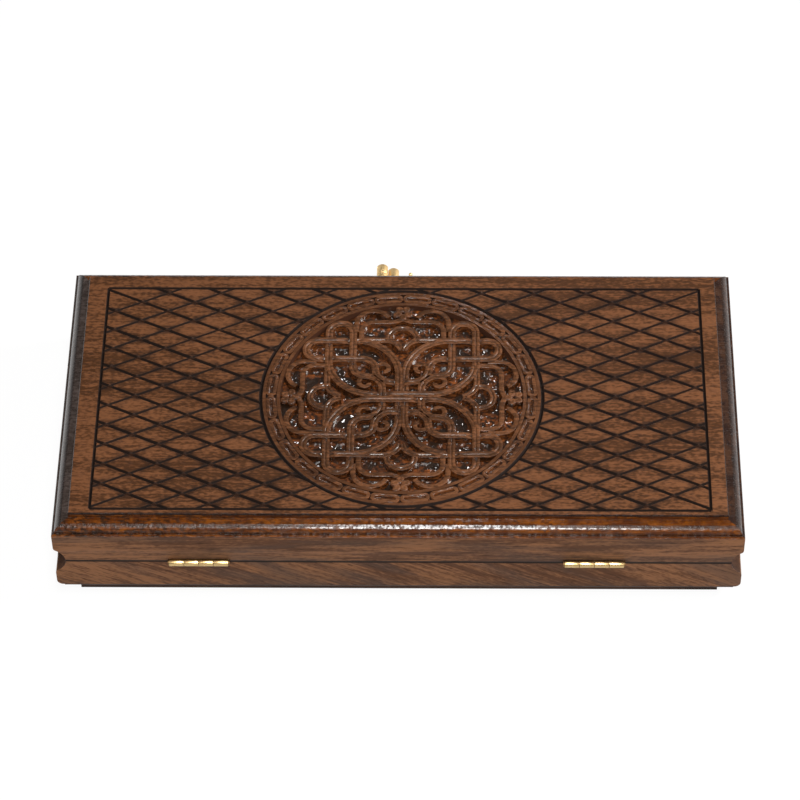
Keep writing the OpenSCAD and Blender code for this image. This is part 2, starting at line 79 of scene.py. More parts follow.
class Flow:
    """A socket of a material; sums and products of flows add Math nodes."""

    def __init__(self, paint: "Paint", socket: bpy.types.NodeSocket) -> None:
        """Wraps a socket.

        Args:
            paint: the material that the socket belongs to.
            socket: the output to wrap.
        """
        self.paint = paint
        self.socket = socket

    def maths(self, operation: str, *terms: "Flow | float") -> "Flow":
        """Adds a Math node.

        Args:
            operation: the node's operation.
            terms: its inputs, in order.

        Returns:
            The node's result.
        """
        return self.paint.node("ShaderNodeMath", {"operation": operation}, dict(enumerate(terms)))

    def __add__(self, other: "Flow | float") -> "Flow":
        """The sum."""
        return self.maths("ADD", self, other)

    __radd__ = __add__

    def __sub__(self, other: "Flow | float") -> "Flow":
        """The difference."""
        return self.maths("SUBTRACT", self, other)

    def __rsub__(self, other: float) -> "Flow":
        """A number less this flow."""
        return self.maths("SUBTRACT", other, self)

    def __mul__(self, other: "Flow | float") -> "Flow":
        """The product."""
        return self.maths("MULTIPLY", self, other)

    __rmul__ = __mul__

    def __truediv__(self, other: "Flow | float") -> "Flow":
        """The quotient."""
        return self.maths("DIVIDE", self, other)

    def __abs__(self) -> "Flow":
        """The size without its sign."""
        return self.maths("ABSOLUTE", self)

    def __lt__(self, other: "Flow | float") -> "Flow":
        """1 where this flow is the smaller, else 0."""
        return self.maths("LESS_THAN", self, other)

    def __gt__(self, other: "Flow | float") -> "Flow":
        """1 where this flow is the larger, else 0."""
        return self.maths("GREATER_THAN", self, other)

    def least(self, other: "Flow | float") -> "Flow":
        """The smaller of the two."""
        return self.maths("MINIMUM", self, other)

    def most(self, other: "Flow | float") -> "Flow":
        """The larger of the two."""
        return self.maths("MAXIMUM", self, other)

    def fraction(self) -> "Flow":
        """What is left after whole steps."""
        return self.maths("FRACT", self)

    def rise(self, low: float, high: float) -> "Flow":
        """A smooth step.

        Args:
            low: where the result leaves 0.
            high: where it reaches 1.

        Returns:
            A flow from 0 to 1.
        """
        return self.paint.node(
            "ShaderNodeMapRange",
            {"interpolation_type": "SMOOTHSTEP"},
            {"Value": self, "From Min": low, "From Max": high},
        )


class Paint:
    """One procedural material, made node by node on Object coordinates."""

    def __init__(self, name: str) -> None:
        """Starts an empty material.

        Args:
            name: the material's name.
        """
        self.material = bpy.data.materials.new(name)
        self.material.use_nodes = True
        self.tree = self.material.node_tree
        self.tree.nodes.clear()
        self.here = self.node("ShaderNodeTexCoord", {}, {}, "Object")

    def node(self, kind: str, settings: dict, inputs: dict, output: int | str = 0) -> Flow:
        """Adds one node.

        Args:
            kind: the node's type.
            settings: its own settings, set first.
            inputs: values or flows for its sockets, by index or name.
            output: the output to hand back.

        Returns:
            That output as a flow.
        """
        made = self.tree.nodes.new(kind)
        for name, value in settings.items():
            setattr(made, name, value)
        for key, value in inputs.items():
            if isinstance(value, Flow):
                self.tree.links.new(value.socket, made.inputs[key])
            else:
                made.inputs[key].default_value = value
        return Flow(self, made.outputs[output]) if made.outputs else Flow(self, made.inputs[0])

    def axes(self) -> tuple[Flow, Flow, Flow]:
        """The place's x, y and z, in metres."""
        x = self.node("ShaderNodeSeparateXYZ", {}, {"Vector": self.here}, "X")
        outputs = x.socket.node.outputs
        return x, Flow(self, outputs["Y"]), Flow(self, outputs["Z"])

    def rays(self) -> tuple[Flow, Flow]:
        """1 for what the camera sees, and 1 for what it sees in a mirror or through glass."""
        camera = self.node("ShaderNodeLightPath", {}, {}, "Is Camera Ray")
        outputs = camera.socket.node.outputs
        through = Flow(self, outputs["Is Transmission Ray"])
        return camera, Flow(self, outputs["Is Glossy Ray"]).most(through)

    def turned(self, slant: float, turn: float) -> Flow:
        """The place turned so that x runs along the grain.

        Args:
            slant: the grain's fall along a rail, in radians.
            turn: its turn about the vertical.

        Returns:
            The turned place.
        """
        inputs = {"Vector": self.here, "Rotation": (0.0, -slant, turn)}
        return self.node("ShaderNodeMapping", {}, inputs)

    def noise(
        self, where: Flow, stretch: Sequence[float], detail: float, bend: float = 0.0
    ) -> Flow:
        """Cloudy noise.

        Args:
            where: the place to read it at.
            stretch: steps per metre along each axis.
            detail: how many finer layers it has.
            bend: how far it is distorted.

        Returns:
            A flow around 0.5.
        """
        spread = self.node("ShaderNodeMapping", {}, {"Vector": where, "Scale": tuple(stretch)})
        inputs = {"Vector": spread, "Scale": 1.0, "Detail": detail, "Distortion": bend}
        return self.node("ShaderNodeTexNoise", {}, inputs)

    def mix(self, share: Flow | float, first: Flow | Colour, second: Flow | Colour) -> Flow:
        """Blends two colours.

        Args:
            share: how much of the second shows.
            first: the colour below.
            second: the colour above.

        Returns:
            The blended colour.
        """
        pair = [c if isinstance(c, Flow) else (*c, 1.0) for c in (first, second)]
        inputs = {0: share, 6: pair[0], 7: pair[1]}
        return self.node("ShaderNodeMix", {"data_type": "RGBA"}, inputs, 2)

    def bump(self, height: Flow, distance: float, under: Flow | None = None) -> Flow:
        """Raised grain.

        Args:
            height: the relief, from 0 to 1.
            distance: its full height in metres.
            under: a coarser relief to lie on.

        Returns:
            A normal.
        """
        inputs = {"Height": height, "Strength": 1.0, "Distance": distance}
        if under is not None:
            inputs["Normal"] = under
        return self.node("ShaderNodeBump", {}, inputs)

    def finish(self, **inputs: Flow | float | Colour) -> bpy.types.Material:
        """Ends the material in its surface.

        Args:
            inputs: the surface's sockets, with _ for a space.

        Returns:
            The material.
        """
        sockets = {}
        for name, value in inputs.items():
            sockets[name.replace("_", " ")] = (*value, 1.0) if isinstance(value, tuple) else value
        surface = self.node("ShaderNodeBsdfPrincipled", {}, sockets)
        self.node_output(surface)
        return self.material

    def node_output(self, surface: Flow) -> None:
        """Links a surface to the material's output."""
        self.node("ShaderNodeOutputMaterial", {}, {"Surface": surface})


class Sky(Paint):
    """The white surround, made in the same way as a material."""

    def __init__(self, name: str) -> None:
        """Starts an empty world.

        Args:
            name: the world's name.
        """
        world = bpy.data.worlds.new(name)
        world.use_nodes = True
        bpy.context.scene.world = world
        self.tree = world.node_tree
        self.tree.nodes.clear()
        self.here = self.node("ShaderNodeTexCoord", {}, {}, "Generated")

    def shine(self, strength: Flow) -> None:
        """Ends the world in a white light of the given strength."""
        inputs = {"Color": (1.0, 1.0, 1.0, 1.0), "Strength": strength}
        shade = self.node("ShaderNodeBackground", {}, inputs)
        self.node("ShaderNodeOutputWorld", {}, {"Surface": shade})


class Run(Enum):
    """Which way a board's grain runs, as a turn about the vertical."""

    ALONG = 0.0
    ACROSS = math.pi / 2


@dataclass(frozen=True)
class Wood:
    """A wood and its varnish."""

    name: str
    light: Colour
    dark: Colour
    pore: Colour
    run: Run = Run.ALONG
    slant: float = 0.0
    roughness: float = 0.46
    gloss: float = 0.15
    coat: float = 0.0
    ripple: float = 0.1 * MM
    ripple_rate: float = 75.0
    fleck: float = 0.4

    def grain(self, paint: Paint) -> tuple[Flow, Flow, Flow]:
        """The wood's figure.

        Args:
            paint: the material to add it to.

        Returns:
            Its colour, its fine streaks and its pores.
        """
        along = paint.turned(math.radians(self.slant), self.run.value)
        figure = paint.noise(along, (5.0, 34.0, 34.0), 4.0, 0.7).rise(0.36, 0.64)
        streak = paint.noise(along, (26.0, 420.0, 420.0), 4.0, 0.3)
        pores = paint.noise(along, (110.0, 1500.0, 1500.0), 2.0).rise(0.54, 0.72)
        fleck = paint.noise(along, (260.0, 620.0, 620.0), 3.0).rise(0.36, 0.64)
        broad = figure * 0.5 + streak.rise(0.34, 0.66) * 0.5
        tone = (broad * (1.0 - self.fleck) + fleck * self.fleck).rise(0.22, 0.78)
        colour = paint.mix(tone, self.dark, self.light)
        return paint.mix(pores * 0.65, colour, self.pore), streak, pores

    def varnish(self, paint: Paint, streak: Flow, pores: Flow) -> Flow:
        """The slightly uneven varnish over the grain, as a normal."""
        wavy = paint.bump(paint.noise(paint.here, (self.ripple_rate,) * 3, 2.0), self.ripple)
        return paint.bump(streak * 0.7 - pores, 0.05 * MM, wavy)

    def sheen(self, streak: Flow, pores: Flow) -> Flow:
        """The varnish's roughness, which is duller in the pores."""
        return pores * 0.25 + (streak - 0.5) * 0.12 + self.roughness

    def make(self) -> bpy.types.Material:
        """The finished material."""
        paint = Paint(self.name)
        colour, streak, pores = self.grain(paint)
        return paint.finish(
            Base_Color=colour,
            Roughness=self.sheen(streak, pores),
            Specular_IOR_Level=self.gloss,
            Coat_Weight=self.coat,
            Coat_Roughness=0.12,
            Normal=self.varnish(paint, streak, pores),
        )


@dataclass(frozen=True)
class RailWood(Wood):
    """A rail or an end, with painted shade along the outer seam and in the finger cove."""

    seam_shade: Colour = (0.006, 0.004, 0.003)
    cove_shade: Colour = (0.022, 0.013, 0.011)
    dusk: Colour = (0.040, 0.028, 0.023)
    seam: float = 41.0 * MM
    seam_shade_reach: Place = (0.7 * MM, 1.5 * MM)
    outside: float = 126.1 * MM
    cove_from: float = 240.5 * MM
    cove_to: float = 249.4 * MM
    cove_across: float = 126.6 * MM
    cove_half: float = 12.0 * MM

    def make(self) -> bpy.types.Material:
        """The finished material."""
        paint = Paint(self.name)
        colour, streak, pores = self.grain(paint)
        x, y, z = paint.axes()
        along = paint.turned(math.radians(self.slant), self.run.value)
        dusk = paint.noise(along, (7.0, 55.0, 55.0), 4.0, 0.4).rise(0.46, 0.68)
        colour = paint.mix(dusk * 0.5, colour, self.dusk)
        # Painted shade: a dark band along the outer seam between lid and tray.
        height = abs(z - self.seam)
        near = (1.0 - height.rise(*self.seam_shade_reach)) * (abs(y) > self.outside)
        # Painted shade: dark colour in the finger cove, which is also made rougher.
        inside = (abs(x) > self.cove_from) * (abs(x) < self.cove_to)
        inside = inside * (abs(y) < self.cove_across) * (height < self.cove_half)
        colour = paint.mix(inside * 0.75, colour, self.cove_shade)
        return paint.finish(
            Base_Color=paint.mix(near * 0.95, colour, self.seam_shade),
            Roughness=self.sheen(streak, pores).most(inside * 0.9),
            Specular_IOR_Level=self.gloss,
            Normal=self.varnish(paint, streak, pores),
        )


@dataclass(frozen=True)
class CarvedWood(Wood):
    """Wood below a flat face, with painted shade in its carved lines, the creases of its moulding
    and its pocket's wall.
    """

    # Painted shade colours: the darkest for the carved lines, the next for the pocket's wall.
    groove_shade: Colour = (0.006, 0.003, 0.002)
    wall: Colour = (0.035, 0.011, 0.004)
    edge_light: Colour = (0.130, 0.036, 0.003)
    edge_dark: Colour = (0.050, 0.012, 0.002)
    mottle: Colour = (0.012, 0.006, 0.003)
    # A painted grey sheen for the left end's moulding, light and dark.
    left_sheen_light: Colour = (0.062, 0.045, 0.039)
    left_sheen_dark: Colour = (0.034, 0.024, 0.020)
    rim: Colour = (0.050, 0.017, 0.005)
    knot: Colour = (0.034, 0.011, 0.003)
    end_light: Colour = (0.040, 0.018, 0.010)
    end_dark: Colour = (0.016, 0.008, 0.006)
    face: float = 82.0 * MM
    half: Place = (250.0 * MM, 127.0 * MM)
    flat_from: float = 12.4 * MM
    middle: Place = (1.5 * MM, -4.0 * MM)
    field: Place = (224.0 * MM, 107.0 * MM)
    diamond: Place = (39.506 * MM, 18.609 * MM)
    ring: float = 104.4 * MM
    pocket: float = 91.2 * MM
    cap: float = 12.3 * MM
    step: float = 5.6 * MM
    lip: float = 1.9 * MM
    bare_corner: float = 10.5

    def smudge(self, paint: Paint, dx: Flow, dy: Flow, away: Flow) -> tuple[Flow, Flow]:
        """Darker blotches on the flat wood beside the lattice lines and around their crossings.

        Args:
            paint: the material to add it to.
            dx: place along the lid, from the medallion's middle.
            dy: place across the lid, from there too.
            away: the square of the distance from there.

        Returns:
            How dark the blotches are, from 0 to 1, and where two lines cross in a knot of varnish.
        """
        u = dx / self.diamond[0]
        v = dy / self.diamond[1]
        spacing = 1.0 / math.hypot(1.0 / self.diamond[0], 1.0 / self.diamond[1])
        lines = (u + v + 40.0, u - v + 40.0)
        near = [abs((line + 0.5).fraction() - 0.5) * spacing for line in lines]
        far = near[0].most(near[1])
        crossing = 1.0 - far.rise(0.5 * MM, 7.0 * MM)
        beside = 1.0 - near[0].least(near[1]).rise(0.6 * MM, 4.2 * MM)
        inside = (abs(dx) < self.field[0]) * (abs(dy) < self.field[1])
        inside = inside * ((abs(u) + abs(v)) < self.bare_corner)
        carved = inside * (away > self.ring * self.ring)
        blotch = paint.noise(paint.here, (130.0, 150.0, 150.0), 6.0).rise(0.34, 0.6)
        knot = (1.0 - far.rise(1.0 * MM, 1.8 * MM)) * carved
        return (beside * 0.55 + crossing * 0.8).least(1.0) * blotch * carved, knot

    def moulding(self, paint: Paint, x: Flow, end: Flow, left: Flow) -> Flow:
        """The worn and mottled stain of the moulded edge, with a painted grey sheen on the left end.

        Args:
            paint: the material to add it to.
            x: place along the lid.
            end: 1 on the short sides.
            left: 1 on the left one, which gets the painted grey sheen.

        Returns:
            Its colour.
        """
        worn = paint.noise(paint.here, (60.0, 60.0, 400.0), 5.0).rise(0.35, 0.65)
        worn = worn * paint.noise(paint.here, (260.0, 260.0, 260.0), 3.0).rise(0.3, 0.52)
        edge = paint.mix(worn, self.edge_dark, self.edge_light)
        edge = paint.mix(end, edge, paint.mix(worn, self.end_dark, self.end_light))
        # Painted reflection: a grey sheen over the left end's moulding.
        edge = paint.mix(left, edge, paint.mix(worn, self.left_sheen_dark, self.left_sheen_light))
        speck = paint.noise(paint.here, (210.0, 420.0, 420.0), 4.0).rise(0.44, 0.58)
        share = speck * (0.8 - x.rise(-0.25, 0.05) * 0.5 - end * 0.3)
        return paint.mix(share, edge, self.mottle)

    def creases(self, inset: Flow, depth: Flow) -> Flow:
        """Where painted shade lies in the moulding's creases, by the step in from the edge and the
        depth.
        """
        under_cap = 1.0 - abs(inset - self.cap).rise(0.2 * MM, 0.6 * MM)
        under_cap = under_cap * depth.rise(0.3 * MM, 0.6 * MM)
        under_cap = under_cap * (1.0 - depth.rise(2.0 * MM, 2.8 * MM))
        step = 0.6 - abs(inset - self.step).rise(0.6 * MM, 1.8 * MM) * 0.6
        lip = 0.5 - abs(inset - self.lip).rise(0.2 * MM, 0.7 * MM) * 0.5
        return under_cap.most(step).most(lip) * (inset < self.cap + 0.7 * MM)

    def make(self) -> bpy.types.Material:
        """The finished material."""
        paint = Paint(self.name)
        colour, streak, pores = self.grain(paint)
        x, y, z = paint.axes()
        from_end = self.half[0] - abs(x)
        from_side = self.half[1] - abs(y)
        inset = from_end.least(from_side)
        flat = inset > self.flat_from
        end = from_end < from_side
        left = end * (x < 0.0)
        colour = paint.mix(1.0 - flat, colour, self.moulding(paint, x, end, left))
        depth = self.face - z
        carved = depth.rise(0.02 * MM, 0.35 * MM) * flat
        dx = x - self.middle[0]
        dy = y - self.middle[1]
        away = dx * dx + dy * dy
        smudge, knot = self.smudge(paint, dx, dy, away)
        # Painted shade: the carved lines, the moulding's creases and the pocket's wall are darkened.
        dark = carved.most(smudge * 0.8).most(self.creases(inset, depth))
        inner = away < self.pocket * self.pocket
        rim = (away < self.ring * self.ring) * flat
        patch = paint.noise(paint.here, (70.0, 70.0, 70.0), 4.0).rise(0.36, 0.6)
        colour = paint.mix(rim * (patch * 0.5 + 0.3), colour, self.rim)
        colour = paint.mix(dark * 0.97, colour, paint.mix(inner, self.groove_shade, self.wall))
        colour = paint.mix(knot * 0.5, colour, self.knot)
        chatter = paint.noise(paint.here, (480.0, 480.0, 140.0), 3.0)
        chatter = chatter * (1.0 - flat).most(knot)
        spark = paint.noise(paint.here, (420.0, 420.0, 160.0), 3.0).rise(0.42, 0.6)
        shine = (end * 0.35 + left * 0.5).most(spark * 0.55 + 0.02) * (1.0 - flat)
        return paint.finish(
            Base_Color=colour,
            Roughness=(self.sheen(streak, pores) + flat * 0.2 - 0.2).most(carved * 0.85),
            Specular_IOR_Level=self.gloss,
            Coat_Weight=shine.most(knot * 0.7).most(rim * spark * 0.6),
            Coat_Roughness=0.09,
            Normal=paint.bump(chatter, 0.3 * MM, self.varnish(paint, streak, pores)),
        )


@dataclass(frozen=True)
class StrapWood(Wood):
    """Carved straps: bare-looking tops, with painted shade on their walls, in their middle groove
    and where they dip under another strap.
    """

    wall: Colour = (0.026, 0.009, 0.003)
    face: float = 81.9 * MM
    fall: float = 1.5 * MM

    def make(self) -> bpy.types.Material:
        """The finished material."""
        paint = Paint(self.name)
        colour, streak, pores = self.grain(paint)
        z = paint.axes()[2]
        # Painted shade: the colour darkens the deeper a place lies below the straps' top.
        low = (self.face - z).rise(0.25 * MM, self.fall)
        colour = paint.mix(low * 0.8, colour, self.wall)
        return paint.finish(
            Base_Color=colour,
            Roughness=pores * 0.2 + (self.roughness - low * 0.2),
            Specular_IOR_Level=self.gloss,
            Coat_Weight=(low * 0.7).most(self.coat),
            Coat_Roughness=0.1,
            Normal=self.varnish(paint, streak, pores),
        )


@dataclass(frozen=True)
class GroundWood(Wood):
    """The punched and heavily varnished ground of the medallion."""

    def make(self) -> bpy.types.Material:
        """The finished material."""
        paint = Paint(self.name)
        colour, streak, pores = self.grain(paint)
        punched = paint.noise(paint.here, (300.0, 300.0, 300.0), 2.0)
        patch = paint.noise(paint.here, (85.0, 85.0, 85.0), 3.0).rise(0.42, 0.56)
        colour = paint.mix(patch * punched.rise(0.36, 0.6), self.pore, colour)
        return paint.finish(
            Base_Color=colour,
            Roughness=punched * 0.2 + self.roughness,
            Specular_IOR_Level=self.gloss,
            Coat_Weight=self.coat,
            Coat_Roughness=0.05,
            Normal=paint.bump(punched, 0.95 * MM),
        )


@dataclass(frozen=True)
class Brass:
    """Brass with finger marks."""

    name: str = "polished_brass"
    colour: Colour = (0.56, 0.39, 0.18)
    tarnish: Colour = (0.34, 0.22, 0.09)
    roughness: float = 0.16

    def make(self) -> bpy.types.Material:
        """The finished material."""
        paint = Paint(self.name)
        marks = paint.noise(paint.here, (260.0, 260.0, 260.0), 4.0)
        brushed = paint.noise(paint.here, (180.0, 2600.0, 2600.0), 2.0)
        return paint.finish(
            Base_Color=paint.mix(marks.rise(0.48, 0.75) * 0.6, self.colour, self.tarnish),
            Metallic=1.0,
            Roughness=marks * 0.2 + brushed * 0.08 + self.roughness,
            Normal=paint.bump(brushed, 0.012 * MM),
        )


@dataclass(frozen=True)
class Ivory:
    """A die's pale body with dark paint in its pips."""

    name: str
    middle: tuple[float, float, float]
    edge: float = 14.0 * MM
    body: Colour = (0.80, 0.72, 0.56)
    shade: Colour = (0.66, 0.55, 0.38)
    paint_colour: Colour = (0.012, 0.010, 0.010)

    def make(self) -> bpy.types.Material:
        """The finished material."""
        paint = Paint(self.name)
        sides = [abs(axis - centre) for axis, centre in zip(paint.axes(), self.middle)]
        deep = sides[0].most(sides[1]).most(sides[2]) < self.edge / 2 - 0.06 * MM
        reach = sides[0] * sides[0] + sides[1] * sides[1] + sides[2] * sides[2]
        pip = deep * (reach < (0.665 * self.edge) ** 2)
        veins = paint.noise(paint.here, (90.0, 420.0, 160.0), 4.0, 1.0)
        colour = paint.mix(veins.rise(0.45, 0.75), self.body, self.shade)
        return paint.finish(
            Base_Color=paint.mix(pip, colour, self.paint_colour),
            Roughness=veins * 0.16 + 0.2,
            Normal=paint.bump(veins, 0.02 * MM),
        )


def tones(light: Colour, dark: Colour, pore: Colour) -> dict[str, Colour]:
    """A wood's three colours, by the names of their fields."""
    return {"light": light, "dark": dark, "pore": pore}


class Finishes:
    """The materials of the case, each made once."""

    def __init__(self) -> None:
        """Makes them all."""
        self.case_wood()
        self.playing_wood()
        self.brass = Brass().make()
        # A dark brass for the hinge pins: painted shade in the gaps between the knuckles.
        self.pin_shade_brass = Brass("pin_shade_brass", (0.20, 0.12, 0.05), (0.10, 0.06, 0.03), 0.4).make()
        satin = Brass("satin_brass", (0.86, 0.62, 0.30), (0.66, 0.44, 0.18), 0.34)
        self.satin_brass = satin.make()

    def case_wood(self) -> None:
        """The stained walnut of the case and its carving."""
        top = tones((0.116, 0.045, 0.018), (0.040, 0.015, 0.005), (0.018, 0.006, 0.003))
        bead = tones((0.105, 0.040, 0.015), (0.034, 0.012, 0.004), (0.012, 0.005, 0.003))
        low = tones((0.17, 0.046, 0.008), (0.07, 0.018, 0.003), (0.012, 0.005, 0.002))
        # The walls' tones are darker than the top's: painted shade on the steep carved faces.
        wall = tones((0.085, 0.025, 0.006), (0.018, 0.006, 0.002), (0.008, 0.003, 0.002))
        wet = {"coat": 1.0, "ripple": 0.5 * MM, "ripple_rate": 200.0}
        self.lid_top = CarvedWood("carved_walnut", **top).make()
        self.straps = StrapWood("strap_walnut", **top).make()
        self.beads = StrapWood("bead_walnut", coat=0.3, **bead).make()
        self.ground = GroundWood("punched_ground", roughness=0.3, coat=1.0, **low).make()
        self.walls = Wood("carved_walls", roughness=0.24, **wet, **wall).make()
        plain = {"gloss": 0.08, "fleck": 0.2}
        rail = plain | tones((0.158, 0.069, 0.030), (0.066, 0.027, 0.012), (0.014, 0.006, 0.003))
        # The base is a very dark walnut: painted shade under the overhang of the tray's rails.
        base = plain | tones((0.050, 0.024, 0.014), (0.022, 0.010, 0.006), (0.014, 0.006, 0.003))
        self.lid_rail = RailWood("lid_rail_walnut", **rail).make()
        self.tray_rail = RailWood("tray_rail_walnut", slant=26.0, **rail).make()
        self.end = RailWood("end_walnut", run=Run.ACROSS, **rail).make()
        self.base = Wood("base_walnut", **base).make()

    def playing_wood(self) -> None:
        """The woods of the boards, their points and the checkers."""
        board = tones((0.22, 0.10, 0.045), (0.12, 0.048, 0.022), (0.05, 0.02, 0.01))
        maple = tones((0.62, 0.42, 0.21), (0.47, 0.29, 0.13), (0.34, 0.19, 0.08))
        dark = tones((0.055, 0.026, 0.016), (0.024, 0.012, 0.008), (0.010, 0.006, 0.004))
        self.board = Wood("board_walnut", roughness=0.36, **board).make()
        self.maple = Wood("maple_inlay", roughness=0.34, **maple).make()
        self.dark_inlay = Wood("dark_inlay", roughness=0.32, **dark).make()
        pale = tones((0.66, 0.45, 0.22), (0.50, 0.31, 0.13), (0.36, 0.2, 0.08))
        brown = tones((0.10, 0.043, 0.024), (0.045, 0.019, 0.011), (0.015, 0.008, 0.005))
        light_checker = Wood("light_checker_wood", run=Run.ACROSS, coat=0.4, **pale)
        self.light_checker = light_checker.make()
        self.dark_checker = Wood("dark_checker_wood", coat=0.4, **brown).make()


# Modelling


class Choice(Enum):
    """What is selected in edit mode."""

    FACES = "FACE"
    EDGES = "EDGE"


class Bench:
    """The modelling operators, as used at the bench."""

    @staticmethod
    def pick(*pieces: bpy.types.Object) -> None:
        """Selects these pieces alone; the last is the active one."""
        bpy.ops.object.select_all(action="DESELECT")
        for piece in pieces:
            piece.select_set(True)
            bpy.context.view_layer.objects.active = piece

    @staticmethod
    def add(
        maker: Callable[..., set[str]], name: str, turn: Matrix | None = None, **sizes: object
    ) -> bpy.types.Object:
        """Adds a primitive, to be shaped further, and puts its place into its mesh.

        Args:
            maker: the operator that adds it.
            name: the piece's name.
            turn: a further move of the mesh.
            sizes: the primitive's own sizes and place.

        Returns:
            The piece, at the origin.
        """
        bpy.ops.object.select_all(action="DESELECT")
        maker(**sizes)
        piece = bpy.context.object
        piece.name = name
        piece.data.name = name
        bpy.ops.object.transform_apply(location=True, rotation=True, scale=True)
        if turn is not None:
            piece.data.transform(turn)
        return piece

    @staticmethod
    def block(name: str, low: Sequence[float], high: Sequence[float]) -> bpy.types.Object:
        """A block between two corners, to be shaped further."""
        middle = [(a + b) / 2 for a, b in zip(low, high)]
        size = [b - a for a, b in zip(low, high)]
        cube = bpy.ops.mesh.primitive_cube_add
        return Bench.add(cube, name, size=1, location=middle, scale=size)

    @staticmethod
    def place(name: str, data: bpy.types.ID) -> bpy.types.Object:
        """Puts a new curve, camera or light into the scene."""
        made = bpy.data.objects.new(name, data)
        bpy.context.scene.collection.objects.link(made)
        return made

    @staticmethod
    def open(piece: bpy.types.Object, action: str = "SELECT") -> None:
        """Opens a piece in edit mode with all of it selected, or nothing."""
        Bench.pick(piece)
        bpy.ops.object.mode_set(mode="EDIT")
        bpy.ops.mesh.select_all(action=action)

    @staticmethod
    def shut() -> None:
        """Leaves edit mode."""
        bpy.ops.object.mode_set(mode="OBJECT")

    @staticmethod
    def choose(piece: bpy.types.Object, kind: Choice, wanted: Callable[..., bool]) -> None:
        """Opens a piece in edit mode with the wanted faces or edges selected.

        Args:
            piece: the piece.
            kind: whether faces or edges are chosen.
            wanted: says which of them are selected.
        """
        Bench.open(piece, "DESELECT")
        bpy.ops.mesh.select_mode(type=kind.value)
        Bench.shut()
        mesh = piece.data
        for part in mesh.polygons if kind is Choice.FACES else mesh.edges:
            part.select = wanted(part)
        bpy.ops.object.mode_set(mode="EDIT")

    @staticmethod
    def smooth(degrees: float) -> None:
        """Smooths the picked piece's shading where its faces meet below an angle."""
        bpy.ops.object.shade_smooth_by_angle(angle=math.radians(degrees))

    @staticmethod
    def clean(piece: bpy.types.Object, gap: float = 0.002 * MM) -> None:
        """Merges doubled points and turns all faces outwards; the piece stays picked.

        Args:
            piece: the piece.
            gap: how near two points have to be.
        """
        Bench.open(piece)
        bpy.ops.mesh.remove_doubles(threshold=gap)
        bpy.ops.mesh.dissolve_degenerate(threshold=gap)
        bpy.ops.mesh.normals_make_consistent(inside=False)
        Bench.shut()

    @staticmethod
    def apply(piece: bpy.types.Object, kind: str, **settings: object) -> None:
        """Adds a modifier and applies it.

        Args:
            piece: the piece.
            kind: the modifier's type.
            settings: its settings.
        """
        modifier = piece.modifiers.new(kind.lower(), kind)
        for name, value in settings.items():
            setattr(modifier, name, value)
        Bench.pick(piece)
        bpy.ops.object.modifier_apply(modifier=modifier.name)

    @staticmethod
    def carve(piece: bpy.types.Object, tool: bpy.types.Object) -> None:
        """Cuts a tool's shape out of a piece and throws the tool away."""
        Bench.apply(piece, "BOOLEAN", operation="DIFFERENCE", solver="MANIFOLD", object=tool)
        bpy.data.objects.remove(tool, do_unlink=True)

    @staticmethod
    def join(name: str, pieces: Sequence[bpy.types.Object]) -> bpy.types.Object:
        """Joins pieces into one mesh."""
        Bench.pick(*pieces)
        bpy.ops.object.join()
        joined = bpy.context.view_layer.objects.active
        joined.name = name
        joined.data.name = name
        return joined

    @staticmethod
    def copy(piece: bpy.types.Object, name: str, move: Matrix) -> bpy.types.Object:
        """A copy with its own mesh, moved in its mesh."""
        twin = piece.copy()
        twin.data = piece.data.copy()
        twin.name = name
        twin.data.transform(move)
        bpy.context.scene.collection.objects.link(twin)
        return twin

    @staticmethod
    def lathe(name: str, outline: Sequence[Place], axis: Place, steps: int) -> bpy.types.Object:
        """Spins a closed outline about an upright axis.

        Args:
            name: the piece's name.
            outline: its points as radius and height.
            axis: the axis's x and y.
            steps: steps in the full turn.

        Returns:
            The turned piece.
        """
        circle = bpy.ops.mesh.primitive_circle_add
        piece = Bench.add(circle, name, vertices=len(outline), fill_type="NOTHING")
        for point, (radius, height) in zip(piece.data.vertices, outline):
            point.co = (axis[0] + radius, axis[1], height)
        Bench.open(piece)
        bpy.ops.mesh.spin(steps=steps, angle=2 * math.pi, center=(*axis, 0), axis=(0, 0, 1))
        Bench.shut()
        Bench.clean(piece)
        return piece

    @staticmethod
    def sweep(
        name: str, routes: Sequence[Sequence[Vector]], section: Sequence[Place], closed: bool
    ) -> bpy.types.Object:
        """Runs a section along routes.

        Args:
            name: the piece's name.
            routes: the points of each route.
            section: the section's points, as across and up.
            closed: whether the routes end where they start.

        Returns:
            The swept piece as a mesh.
        """
        shape = bpy.data.curves.new(name + "_section", "CURVE")
        shape.dimensions = "2D"
        shape.fill_mode = "NONE"
        Bench._spline(shape, [Vector((across, up, 0)) for across, up in section], True)
        profile = Bench.place(name + "_section", shape)
        path = bpy.data.curves.new(name, "CURVE")
        path.dimensions = "3D"
        path.twist_mode = "Z_UP"
        path.bevel_mode = "OBJECT"
        path.bevel_object = profile
        path.use_fill_caps = True
        for route in routes:
            Bench._spline(path, route, closed)
        Bench.pick(Bench.place(name, path))
        bpy.ops.object.convert(target="MESH")
        piece = bpy.context.view_layer.objects.active
        bpy.data.objects.remove(profile, do_unlink=True)
        Bench.clean(piece)
        Bench.smooth(35.0)
        return piece

    @staticmethod
    def _spline(curve: bpy.types.Curve, points: Sequence[Vector], closed: bool) -> None:
        """Adds a straight-sided spline to a curve."""
        spline = curve.splines.new("POLY")
        spline.points.add(len(points) - 1)
        for point, place in zip(spline.points, points):
            point.co = (*place, 1.0)
        spline.use_cyclic_u = closed


